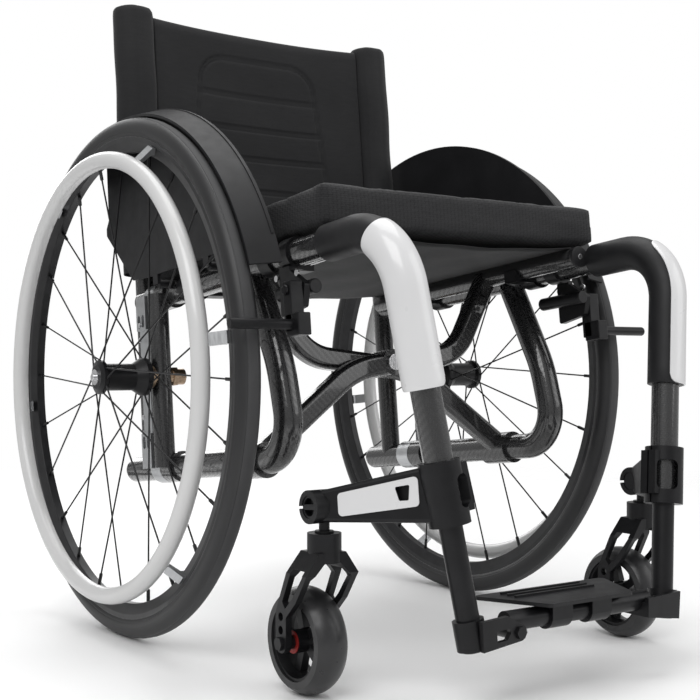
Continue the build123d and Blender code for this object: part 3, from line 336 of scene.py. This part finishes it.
finishes = {
    "carbon_frame": carbonFinish(),
    "black_anodised": satinBlackFinish(),
    "silver_aluminium": silverFinish(),
    "silver_steel": silverFinish("polishedSteel", (0.66, 0.66, 0.67), 0.18),
    "bronze_sleeve": bronzeFinish(),
    "white_shell": whiteFinish(),
    "matte_black": matteBlackFinish(),
    "black_tyre": tyreFinish(),
    "grey_rim": rimFinish(),
    "white_handrim": whiteFinish("handrimWhite", (0.58, 0.58, 0.578), 0.34),
    "grey_caster_tyre": casterRubberFinish(),
    "black_fabric": clothFinish("seatCloth", (0.012, 0.012, 0.013), (0.052, 0.053, 0.055)),
}
for part in frame["record"]["subparts"]:
    piece = nodes[part["node"]]
    piece.data.materials.clear()
    piece.data.materials.append(finishes[part["material_slot"]])
print("materials given to", len(nodes), "CAD nodes")


def buildStage():
    # floor that fades into the white surroundings, world, lamps and camera
    floor = Finish("floorPaint", stage["floorColour"], 0.55, specular=0.2)
    x, y, z = floor.place()
    away = floor.limit((x * x + y * y) ** 0.5, *stage["floorFade"])
    clear = floor.tree.nodes.new("ShaderNodeBsdfTransparent")
    mix = floor.tree.nodes.new("ShaderNodeMixShader")
    floor.join(mix.inputs[0], away)
    floor.tree.links.new(floor.shader.outputs[0], mix.inputs[1])
    floor.tree.links.new(clear.outputs[0], mix.inputs[2])
    floor.tree.links.new(mix.outputs[0], floor.tree.nodes["Material Output"].inputs["Surface"])
    mesh = bpy.data.meshes.new("floor")
    bm = bmesh.new()
    bmesh.ops.create_grid(bm, x_segments=1, y_segments=1, size=stage["floorSize"])
    bm.to_mesh(mesh)
    bm.free()
    ground = bpy.data.objects.new("floor", mesh)
    bpy.context.scene.collection.objects.link(ground)
    ground.data.materials.append(floor.material)

    world = bpy.data.worlds.new("studio")
    bpy.context.scene.world = world
    world.use_nodes = True
    tree = world.node_tree
    tree.nodes.clear()
    seen = tree.nodes.new("ShaderNodeLightPath")
    plain = tree.nodes.new("ShaderNodeBackground")
    plain.inputs["Color"].default_value = (1, 1, 1, 1)
    plain.inputs["Strength"].default_value = stage["worldLight"]
    white = tree.nodes.new("ShaderNodeBackground")
    white.inputs["Color"].default_value = (1, 1, 1, 1)
    white.inputs["Strength"].default_value = 1.0
    shown = tree.nodes.new("ShaderNodeMath")
    shown.operation = "MAXIMUM"
    tree.links.new(seen.outputs["Is Camera Ray"], shown.inputs[0])
    tree.links.new(seen.outputs["Is Transmission Ray"], shown.inputs[1])
    mix = tree.nodes.new("ShaderNodeMixShader")
    out = tree.nodes.new("ShaderNodeOutputWorld")
    tree.links.new(shown.outputs[0], mix.inputs[0])
    tree.links.new(plain.outputs[0], mix.inputs[1])
    tree.links.new(white.outputs[0], mix.inputs[2])
    tree.links.new(mix.outputs[0], out.inputs["Surface"])

    for name, spot, size, watts in stage["lamps"]:
        lamp = bpy.data.lights.new(name, "AREA")
        lamp.size = size
        lamp.energy = watts
        holder = bpy.data.objects.new(name, lamp)
        holder.location = spot
        aim = Vector((0, 0, stage["aimHeight"])) - Vector(spot)
        holder.rotation_euler = aim.to_track_quat("-Z", "Y").to_euler()
        bpy.context.scene.collection.objects.link(holder)

    lens = bpy.data.cameras.new("camera")
    lens.lens = stage["lens"]
    lens.sensor_width = 36
    lens.clip_start = 0.02
    camera = bpy.data.objects.new("camera", lens)
    camera.location = stage["camera"]
    camera.rotation_euler = (radians(90 + stage["tiltUp"]), 0, radians(stage["yaw"]))
    bpy.context.scene.collection.objects.link(camera)
    bpy.context.scene.camera = camera
    bpy.context.scene.view_settings.view_transform = "Standard"


# From the seat's slope to the room
seatTurn = Matrix((
    (1, 0, 0, 0),
    (0, alongV.y, alongW.y, chair["axle"].y),
    (0, alongV.z, alongW.z, chair["axle"].z),
    (0, 0, 0, 1),
))


def middleOf(element):
    # where a vert, edge or face lies, rounded so that equal places compare as equal
    verts = getattr(element, "verts", None) or [element]
    return tuple(round(sum(v.co[i] for v in verts) / len(verts), 7) for i in range(3))


def fixedOrder(bm):
    # an extrusion leaves the order of what it makes to chance, so all of it is put in order of place
    for group in (bm.verts, bm.edges, bm.faces):
        ordered = sorted(group, key=middleOf)
        rank = {element: i for i, element in enumerate(ordered)}
        group.sort(key=rank.get)
        group.index_update()


def newPiece(name, bm, finish, turn=None, smooth=True):
    # a finished mesh as an object at the origin
    bmesh.ops.remove_doubles(bm, verts=bm.verts, dist=1e-6)
    fixedOrder(bm)
    if turn is not None:
        bm.transform(turn)
    bmesh.ops.recalc_face_normals(bm, faces=bm.faces)
    mesh = bpy.data.meshes.new(name)
    bm.to_mesh(mesh)
    bm.free()
    for face in mesh.polygons:
        face.use_smooth = smooth
    piece = bpy.data.objects.new(name, mesh)
    bpy.context.scene.collection.objects.link(piece)
    piece.data.materials.append(finish)
    return piece


def grow(bm, edges, step):
    # extrudes a line of edges by a step and gives back the new line
    made = bmesh.ops.extrude_edge_only(bm, edges=edges)["geom"]
    line = [g for g in made if isinstance(g, bmesh.types.BMEdge)]
    bmesh.ops.translate(bm, verts=list({v for e in line for v in e.verts}), vec=step)
    return line


def bevelled(piece, width):
    # softens every sharp edge and works the modifiers in
    edge = piece.modifiers.new("edge", "BEVEL")
    edge.width = width
    edge.segments = 2
    return keepModifiers(piece)


def keepModifiers(piece):
    # the shape with its modifiers worked in
    bpy.context.view_layer.update()
    shaped = bpy.data.meshes.new_from_object(piece.evaluated_get(bpy.context.evaluated_depsgraph_get()))
    piece.modifiers.clear()
    old = piece.data
    piece.data = shaped
    bpy.data.meshes.remove(old)
    return piece


def puffedPad(piece, voxel, pressure, cap, frames=20):
    # fills the pad: an even skin, a short cloth run under pressure, and no point moved past the cap
    remesh = piece.modifiers.new("skin", "REMESH")
    remesh.mode = "VOXEL"
    remesh.voxel_size = voxel
    remesh.use_smooth_shade = True
    keepModifiers(piece)
    start = [v.co.copy() for v in piece.data.vertices]
    cloth = piece.modifiers.new("fill", "CLOTH")
    cloth.settings.use_pressure = True
    cloth.settings.uniform_pressure_force = pressure
    cloth.settings.effector_weights.gravity = 0
    cloth.settings.quality = 4
    cloth.point_cache.frame_start = 1
    cloth.point_cache.frame_end = frames
    for frameNumber in range(1, frames + 1):
        bpy.context.scene.frame_set(frameNumber)
    keepModifiers(piece)
    bpy.context.scene.frame_set(1)
    for vert, old in zip(piece.data.vertices, start):
        step = vert.co - old
        if step.length > cap:
            vert.co = old + step * (cap / step.length)
    return piece


cushion = {
    "half": 0.1885,
    "front": -0.3375,
    "rear": 0.0405,
    "bottom": 0.1185,
    "top": 0.1580,
    "corner": 0.007,
    "edge": 0.003,
    "voxel": 0.005,
    "pressure": 3.0,
    "cap": 0.0035,
    "blendX": 0.15,
    "blendV": -0.146,
    "blendW": 0.1,
}


def seatCushion():
    # a rounded slab, filled, set in the seat's slope; gives back two points across it
    bm = bmesh.new()
    bmesh.ops.create_cube(bm, size=1)
    bmesh.ops.scale(bm, verts=bm.verts, vec=(2 * cushion["half"], cushion["rear"] - cushion["front"],
                                             cushion["top"] - cushion["bottom"]))
    bmesh.ops.translate(bm, verts=bm.verts, vec=(0, (cushion["rear"] + cushion["front"]) / 2,
                                                 (cushion["top"] + cushion["bottom"]) / 2))
    upright = [e for e in bm.edges if abs(e.verts[0].co.z - e.verts[1].co.z) > 0.01]
    bmesh.ops.bevel(bm, geom=upright, offset=cushion["corner"], segments=5, profile=0.5, affect="EDGES",
                    material=-1)
    rim = [e for e in bm.edges if abs(e.verts[0].co.z - e.verts[1].co.z) < 1e-6 and len(e.link_faces) == 2
           and abs(e.link_faces[0].normal.z - e.link_faces[1].normal.z) > 0.5]
    bmesh.ops.bevel(bm, geom=rim, offset=cushion["edge"], segments=3, profile=0.5, affect="EDGES",
                    material=-1)
    pad = newPiece("seatCushion", bm, cushionCloth, seatTurn)
    puffedPad(pad, cushion["voxel"], cushion["pressure"], cushion["cap"])
    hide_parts("seat_cushion")
    ends = dict(start=tuple(seatPoint(cushion["blendX"], cushion["blendV"], cushion["blendW"])),
                end=tuple(seatPoint(-cushion["blendX"], cushion["blendV"], cushion["blendW"])))
    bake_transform(pad)
    return ends


sling = {
    "railX": 0.156,
    "railW": 0.1005,
    "railR": 0.01135,
    "thick": 0.0012,
    "front": -0.331,
    "rear": 0.038,
    "sag": 0.007,
    "wrap": radians(96),
    "wrapSteps": 9,
    "wrapStart": 0.001,
    "wrapEnd": 0.0035,
    "flatStart": 0.0045,
    "ripple": 0.0006,
    "steps": 24,
}


def seatSling():
    # over each rail's top and inner side, and across between them with a little sag
    bm = bmesh.new()
    first = bm.verts.new((sling["railX"] - sling["railR"], 0, sling["railW"] - sling["wrapStart"]))
    centre = Vector((sling["railX"], 0, sling["railW"]))
    bmesh.ops.spin(bm, geom=[first], cent=centre, axis=(0, 1, 0), angle=sling["wrap"],
                   steps=sling["wrapSteps"], dvec=(0, 0, 0))
    topX = sling["railX"] - sling["flatStart"]
    inner = bmesh.ops.create_vert(bm, co=(topX, 0, sling["railW"] + sling["railR"]))["vert"][0]
    middle = bmesh.ops.create_vert(bm, co=(0, 0, sling["railW"] + sling["railR"]))["vert"][0]
    edge = bm.edges.new((inner, middle))
    bmesh.ops.subdivide_edges(bm, edges=[edge], cuts=sling["steps"])
    beyond = [v for v in bm.verts if v.co.x > sling["railX"] + sling["wrapEnd"]]
    bmesh.ops.delete(bm, geom=beyond, context="VERTS")
    bmesh.ops.mirror(bm, geom=list(bm.verts) + list(bm.edges), matrix=Matrix.Identity(4), merge_dist=1e-5,
                     axis="X")
    for vert in bm.verts:
        vert.co.y = sling["front"]
    line = list(bm.edges)
    step = (sling["rear"] - sling["front"]) / sling["steps"]
    for _ in range(sling["steps"]):
        line = grow(bm, line, (0, step, 0))
    for vert in bm.verts:
        across = vert.co.x / topX
        if abs(across) < 1:
            ripple = sling["ripple"] * sin(vert.co.x * 70 + vert.co.y * 21)
            vert.co.z -= (sling["sag"] + ripple) * (1 - across ** 2)
    sheet = newPiece("seatSling", bm, slingCloth, seatTurn)
    wall = sheet.modifiers.new("cloth", "SOLIDIFY")
    wall.thickness = sling["thick"]
    wall.offset = 0
    keepModifiers(sheet)
    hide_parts("seat_sling")
    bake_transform(sheet)


back = {
    "half": 0.1565,
    "bottom": 0.126,
    "top": 0.464,
    "v": 0.062,
    "dish": 0.016,
    "wall": 0.007,
    "puff": 0.0022,
    "hem": 0.012,
    "hemBack": 0.0028,
    "bellyHeight": 0.34,
    "columns": 150,
    "rows": 160,
}

# The stitched field: half widths at its bottom and top, their heights, and the cross rows
stitched = {
    "lowHalf": 0.118,
    "highHalf": 0.086,
    "top": 0.4315,
    "low": 0.15,
    "corner": 0.034,
    "gap": 0.0042,
    "soft": 0.0011,
    "rows": (0.383, 0.339, 0.299, 0.255, 0.21),
}


def stitchDepth(x, w):
    # 1 on a line of stitching, falling to 0 beside it
    share = (w - stitched["low"]) / (stitched["top"] - stitched["low"])
    half = stitched["lowHalf"] + (stitched["highHalf"] - stitched["lowHalf"]) * min(max(share, 0), 1)
    dx = abs(x) - (half - stitched["corner"])
    dw = w - (stitched["top"] - stitched["corner"])
    if dx > 0 and dw > 0:
        away = sqrt(dx * dx + dw * dw) - stitched["corner"]
    else:
        away = max(abs(x) - half, w - stitched["top"])
    near = []
    for shift in (0, stitched["gap"]):
        near.append(abs(away + shift))
        if away < 0:
            near += [abs(w - row + shift) for row in stitched["rows"]]
    return exp(-(min(near) / stitched["soft"]) ** 2)


def backPanel():
    # a dished pad with sewn channels and a rolled hem, sewn to the sleeves
    bm = bmesh.new()
    bmesh.ops.create_grid(bm, x_segments=back["columns"], y_segments=back["rows"], size=0.5)
    bmesh.ops.scale(bm, verts=bm.verts, vec=(2 * back["half"], back["top"] - back["bottom"], 1))
    bmesh.ops.rotate(bm, verts=bm.verts, cent=(0, 0, 0), matrix=Matrix.Rotation(radians(90), 3, "X"))
    bmesh.ops.translate(bm, verts=bm.verts, vec=(0, back["v"], (back["top"] + back["bottom"]) / 2))
    for vert in bm.verts:
        x, w = vert.co.x, vert.co.z
        across = min(1, abs(x) / back["half"])
        groove = stitchDepth(x, w)
        tight = min(1, (back["top"] - w) / back["hem"])
        belly = 0.75 + 0.25 * sin(pi * (w - back["bottom"]) / back["bellyHeight"])
        vert.co.y += back["dish"] * (1 - across ** 2.4) * belly
        vert.co.y += groove * back["puff"] - back["puff"] * 0.4 * sin(w * 61 + x * 9) * (1 - across)
        vert.co.y += back["hemBack"] * (1 - tight) ** 2
    panel = newPiece("backPanel", bm, backCloth, seatTurn)
    wall = panel.modifiers.new("pad", "SOLIDIFY")
    wall.thickness = back["wall"]
    wall.offset = -1
    wall.use_rim = True
    keepModifiers(panel)
    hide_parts("back_panel")
    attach(panel, "right_side")
    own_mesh(panel)


sleeve = {
    "wide": 0.0272,
    "deep": 0.0225,
    "bottom": 0.133,
    "top": 0.4700,
    "waver": 0.0004,
    "seamFlat": 0.90,
    "crease": 1.06,
    "capSteps": ((0.004, 0.0016), (0.006, 0.001)),
    "ring": 40,
    "steps": 26,
}


def backSleeve(side, sign):
    # padded fabric sleeve over the cane, flatter where the panel is sewn to it
    bm = bmesh.new()
    bmesh.ops.create_circle(bm, cap_ends=False, segments=sleeve["ring"], radius=1)
    for vert in bm.verts:
        x, y = vert.co.x, vert.co.y
        flat = sleeve["seamFlat"] if x * sign < -0.7 else 1.0
        crease = sleeve["crease"] if (x * sign > 0.2 and y < -0.55) else 1.0
        vert.co.x = x * sleeve["wide"] * flat
        vert.co.y = y * sleeve["deep"] * crease
    bmesh.ops.translate(bm, verts=bm.verts, vec=(sign * chair["caneX"], chair["caneV"], sleeve["bottom"]))
    ring = list(bm.edges)
    step = (sleeve["top"] - sleeve["bottom"]) / sleeve["steps"]
    waver = sleeve["waver"]
    for i in range(sleeve["steps"]):
        ring = grow(bm, ring, (waver * sin(i * 0.9), waver * 1.25 * sin(i * 0.6 + 1), step))
    bmesh.ops.holes_fill(bm, edges=ring, sides=0)
    for inward, rise in sleeve["capSteps"]:
        cap = [f for f in bm.faces if len(f.verts) > 8]
        bmesh.ops.inset_region(bm, faces=cap, thickness=inward, depth=rise)
    pad = newPiece(side + "BackSleeve", bm, sleeveCloth, seatTurn)
    smooth = pad.modifiers.new("round", "SUBSURF")
    smooth.levels = smooth.render_levels = 1
    keepModifiers(pad)
    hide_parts(side + "_back_sleeve")
    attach(pad, side + "_side")


leg = {
    "x": 0.183,
    "v": -0.442,
    "w": 0.0975,
    "taper": radians(8.55),
    "bend": 0.060,
    "start": 0.104,
    "end": 0.152,
    "sleeveR": 0.0186,
    "sleeveEdge": 0.0008,
    "coverEdge": 0.0006,
    "coverR": 0.0196,
    "coverWall": 0.0016,
    "coverTurn": radians(34),
    "facing": radians(46),
    "reach": radians(82),
    "corner": 0.009,
    "ring": 48,
    "columns": 36,
    "sleeveSteps": (18, 6),
    "coverSteps": (22, 26),
}


def legTurn(sign):
    # local x points outboard, y rearward and z up the leg, from the knee of the frame tube
    outboard = Vector((sign * cos(leg["taper"]), 0, -sin(leg["taper"])))
    upward = Vector((sign * sin(leg["taper"]), 0, cos(leg["taper"])))
    turn = Matrix(((outboard.x, 0, upward.x, sign * leg["x"]), (0, 1, 0, leg["v"]),
                   (outboard.z, 0, upward.z, leg["w"]), (0, 0, 0, 1)))
    return seatTurn @ turn


def sweepDown(bm, ring, turnLeft, turnSteps, dropSteps):
    # carries a ring round the rest of the bend and down the leg
    centre = (0, leg["bend"], -leg["bend"])
    bent = bmesh.ops.spin(bm, geom=ring, cent=centre, axis=(1, 0, 0), angle=turnLeft, steps=turnSteps,
                          dvec=(0, 0, 0))
    ring = [g for g in bent["geom_last"] if isinstance(g, bmesh.types.BMEdge)]
    step = (leg["end"] - leg["bend"]) / dropSteps
    for _ in range(dropSteps):
        ring = grow(bm, ring, (0, 0, -step))


def legSleeve(side, sign):
    # thick matt sleeve round the bend and the top of the leg
    bm = bmesh.new()
    bmesh.ops.create_circle(bm, cap_ends=False, segments=leg["ring"], radius=leg["sleeveR"])
    bmesh.ops.rotate(bm, verts=bm.verts, cent=(0, 0, 0), matrix=Matrix.Rotation(radians(90), 3, "X"))
    bmesh.ops.translate(bm, verts=bm.verts, vec=(0, leg["start"], 0))
    ring = grow(bm, list(bm.edges), (0, leg["bend"] - leg["start"], 0))
    sweepDown(bm, ring, radians(90), *leg["sleeveSteps"])
    bmesh.ops.remove_doubles(bm, verts=bm.verts, dist=1e-6)
    bmesh.ops.holes_fill(bm, edges=[e for e in bm.edges if e.is_boundary], sides=0)
    piece = newPiece(side + "LegSleeve", bm, finishes["matte_black"], legTurn(sign))
    bevelled(piece, leg["sleeveEdge"])
    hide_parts(side + "_bend_shroud")
    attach(piece, side + "_side")


def legCover(side, sign):
    # white shell on the front and outer side of the sleeve, with rounded corners
    bm = bmesh.new()
    middle = Vector((0, leg["bend"], 0))
    turned = leg["facing"] - leg["reach"]
    corner = middle + Vector((sin(turned), 0, cos(turned))) * leg["coverR"]
    first = bmesh.ops.create_vert(bm, co=corner)["vert"]
    bmesh.ops.spin(bm, geom=first, cent=middle, axis=(0, 1, 0), angle=2 * leg["reach"], steps=leg["columns"],
                   dvec=(0, 0, 0))
    bmesh.ops.rotate(bm, verts=bm.verts, cent=(0, leg["bend"], -leg["bend"]),
                     matrix=Matrix.Rotation(leg["coverTurn"], 3, "X"))
    sweepDown(bm, list(bm.edges), radians(90) - leg["coverTurn"], *leg["coverSteps"])
    edgeLength = leg["reach"] * leg["coverR"]
    for vert in bm.verts:
        outward = Vector((vert.co.x, 0, 0))
        if vert.co.z > -leg["bend"]:
            spoke = Vector((0, vert.co.y - leg["bend"], vert.co.z + leg["bend"]))
            rise = spoke.length - leg["bend"]
        else:
            rise = -vert.co.y
        around = atan2(vert.co.x, rise) - leg["facing"]
        near = max(0, abs(around) * leg["coverR"] - (edgeLength - leg["corner"])) / leg["corner"]
        drop = leg["corner"] * (1 - sqrt(max(0, 1 - min(1, near) ** 2)))
        toEnd = vert.co.z + leg["end"]
        if toEnd < leg["corner"]:
            vert.co.z += drop * (1 - toEnd / leg["corner"])
        elif vert.co.z > -leg["bend"]:
            along = atan2(-spoke.y, spoke.z) - leg["coverTurn"]
            if along < leg["corner"] / leg["bend"]:
                share = 1 - along * leg["bend"] / leg["corner"]
                turn = Matrix.Rotation(drop * share / leg["bend"], 3, "X")
                vert.co = Vector((0, leg["bend"], -leg["bend"])) + outward + turn @ spoke
    piece = newPiece(side + "LegCover", bm, finishes["white_shell"], legTurn(sign))
    wall = piece.modifiers.new("wall", "SOLIDIFY")
    wall.thickness = leg["coverWall"]
    wall.offset = 0
    bevelled(piece, leg["coverEdge"])
    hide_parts(side + "_leg_cover")
    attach(piece, side + "_side")


def pin(bm, spot, axis, radius, length, sides=28):
    # a round pin from a point along an axis
    turn = Vector(axis).to_track_quat("Z", "Y").to_matrix().to_4x4()
    middle = Vector(spot) + Vector(axis).normalized() * length / 2
    bmesh.ops.create_cone(bm, cap_ends=True, segments=sides, radius1=radius, radius2=radius, depth=length,
                          matrix=Matrix.Translation(middle) @ turn)


def finishPiece(name, bm, finish, body, bevel):
    # a hard piece with its edges softened, its slot and the body it rides on
    piece = bevelled(newPiece(name, bm, finish, smooth=False), bevel)
    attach(piece, body)
    return piece


lock = {
    "leverX": 0.2048,
    "v": -0.302,
    "w": 0.056,
    "half": 0.0075,
    "shoeV": -0.309,
    "shoeW": 0.0215,
    "block": 0.022,
    "shoeR": 0.0052,
    "shoeTip": 0.282,
    "barrelX": 0.184,
    "barrelW": 0.060,
    "barrelFront": -0.312,
    "barrelLength": 0.066,
    "barrelR": 0.0074,
    "arm": 0.014,
    "armRise": 0.004,
    "armTop": 0.009,
    "nutR": 0.0055,
    "nut": 0.003,
    "edge": 0.001,
}


def wheelLock(side, sign):
    # the lever's arm, block and bar
    bm = bmesh.new()
    low = lock["shoeW"] - lock["block"] / 2
    solids = (  # depth, lower w, upper w, v
        (lock["block"], low, low + lock["block"], lock["shoeV"]),
        (lock["arm"], low + lock["armRise"], lock["w"] + lock["armTop"], lock["v"]),
    )
    for depth, lowW, highW, v in solids:
        made = bmesh.ops.create_cube(bm, size=1)["verts"]
        bmesh.ops.scale(bm, verts=made, vec=(2 * lock["half"], depth, highW - lowW))
        bmesh.ops.translate(bm, verts=made, vec=(sign * lock["leverX"], v, (lowW + highW) / 2))
    pin(bm, (sign * lock["leverX"], lock["shoeV"], lock["shoeW"]), (sign, 0, 0), lock["shoeR"],
        lock["shoeTip"] - lock["leverX"])
    pin(bm, (sign * (lock["leverX"] + lock["half"]), lock["v"], lock["w"]), (sign, 0, 0), lock["nutR"],
        lock["nut"], 6)
    bm.transform(seatTurn)
    lever = finishPiece(side + "LockLever", bm, finishes["black_anodised"], side + "_lock",
                        lock["edge"])
    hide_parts(side + "_lock_lever")
    bm = bmesh.new()
    pin(bm, (sign * lock["barrelX"], lock["barrelFront"], lock["barrelW"]), (0, 1, 0), lock["barrelR"],
        lock["barrelLength"])
    bm.transform(seatTurn)
    finishPiece(side + "LockBarrel", bm, finishes["black_anodised"], side + "_side",
                lock["edge"])


trim = {
    "railX": 0.156,
    "railW": 0.1005,
    "capV": -0.3353,
    "capR": 0.0122,
    "cap": 0.0042,
    "capEdge": 0.0008,
    "railScrewV": -0.3393,
    "railScrewR": 0.0032,
    "railScrew": 0.0012,
    "plateX": 0.2112,
    "plateV": 0.0275,
    "plateRows": (-0.064, -0.046, 0.046, 0.064),
    "plateScrewR": 0.0030,
    "plateScrew": 0.0016,
    "lockX": 0.1965,
    "lockW": 0.074,
    "lockPlaces": (-0.300, -0.262),
    "lockScrewR": 0.0034,
    "lockScrew": 0.0022,
    "screwSides": 16,
    "screwEdge": 0.0003,
    "sealPlaces": (0.0155, -0.0165),
    "sealR": 0.0108,
    "seal": 0.001,
    "sealEdge": 0.0002,
}


def screws(name, places, axis, radius, length, body):
    # round screw heads in the seat's slope
    bm = bmesh.new()
    for place in places:
        pin(bm, place, axis, radius, length, trim["screwSides"])
    bm.transform(seatTurn)
    finishPiece(name, bm, finishes["silver_steel"], body, trim["screwEdge"])


def trims(side, sign):
    # caps and screws that the photograph shows
    railBody = "front_arm" if sign > 0 else "rear_arm"
    frameBody = side + "_side"
    bm = bmesh.new()
    pin(bm, (sign * trim["railX"], trim["capV"], trim["railW"]), (0, -1, 0), trim["capR"], trim["cap"])
    bm.transform(seatTurn)
    finishPiece(side + "RailCap", bm, finishes["matte_black"], railBody, trim["capEdge"])
    screws(side + "RailScrew", [(sign * trim["railX"], trim["railScrewV"], trim["railW"])], (0, -1, 0),
           trim["railScrewR"], trim["railScrew"], railBody)
    screws(side + "PlateScrews", [(sign * trim["plateX"], trim["plateV"], w) for w in trim["plateRows"]],
           (sign, 0, 0), trim["plateScrewR"], trim["plateScrew"], frameBody)
    screws(side + "LockScrews", [(sign * trim["lockX"], v, trim["lockW"]) for v in trim["lockPlaces"]],
           (sign, 0, 0), trim["lockScrewR"], trim["lockScrew"], frameBody)
    bm = bmesh.new()
    for out in trim["sealPlaces"]:
        pin(bm, (sign * chair["casterX"] + out, chair["casterY"], chair["casterR"]), (1, 0, 0), trim["sealR"],
            trim["seal"])
    finishPiece(side + "BearingSeal", bm, redSeal, side + "_caster", trim["sealEdge"])


redSeal = satinBlackFinish("redSeal", (0.22, 0.012, 0.01), 0.4, 0.02)
cushionCloth = clothFinish("cushionCloth", (0.004, 0.004, 0.0045), (0.026, 0.026, 0.028),
                           thread=0.0022, roughness=0.75, weaveDepth=0.6, stretchX=2.2)
slingCloth = clothFinish("slingCloth", (0.004, 0.004, 0.0045), (0.009, 0.009, 0.010),
                         thread=0.0006, roughness=0.72, weaveDepth=0.15)
backCloth = clothFinish("backCloth", (0.009, 0.009, 0.010), (0.020, 0.020, 0.021),
                        thread=0.0007, roughness=0.82, weaveDepth=0.2)
sleeveCloth = clothFinish("sleeveCloth", (0.007, 0.007, 0.008), (0.016, 0.016, 0.017),
                          thread=0.0007, roughness=0.72, weaveDepth=0.15)
blendEnds = seatCushion()
seatSling()
backPanel()
for side, sign in (("right", -1), ("left", 1)):
    backSleeve(side, sign)
    legSleeve(side, sign)
    legCover(side, sign)
    wheelLock(side, sign)
    trims(side, sign)
print("soft pieces, leg shells, locks and trims made")

buildStage()
print("stage ready")
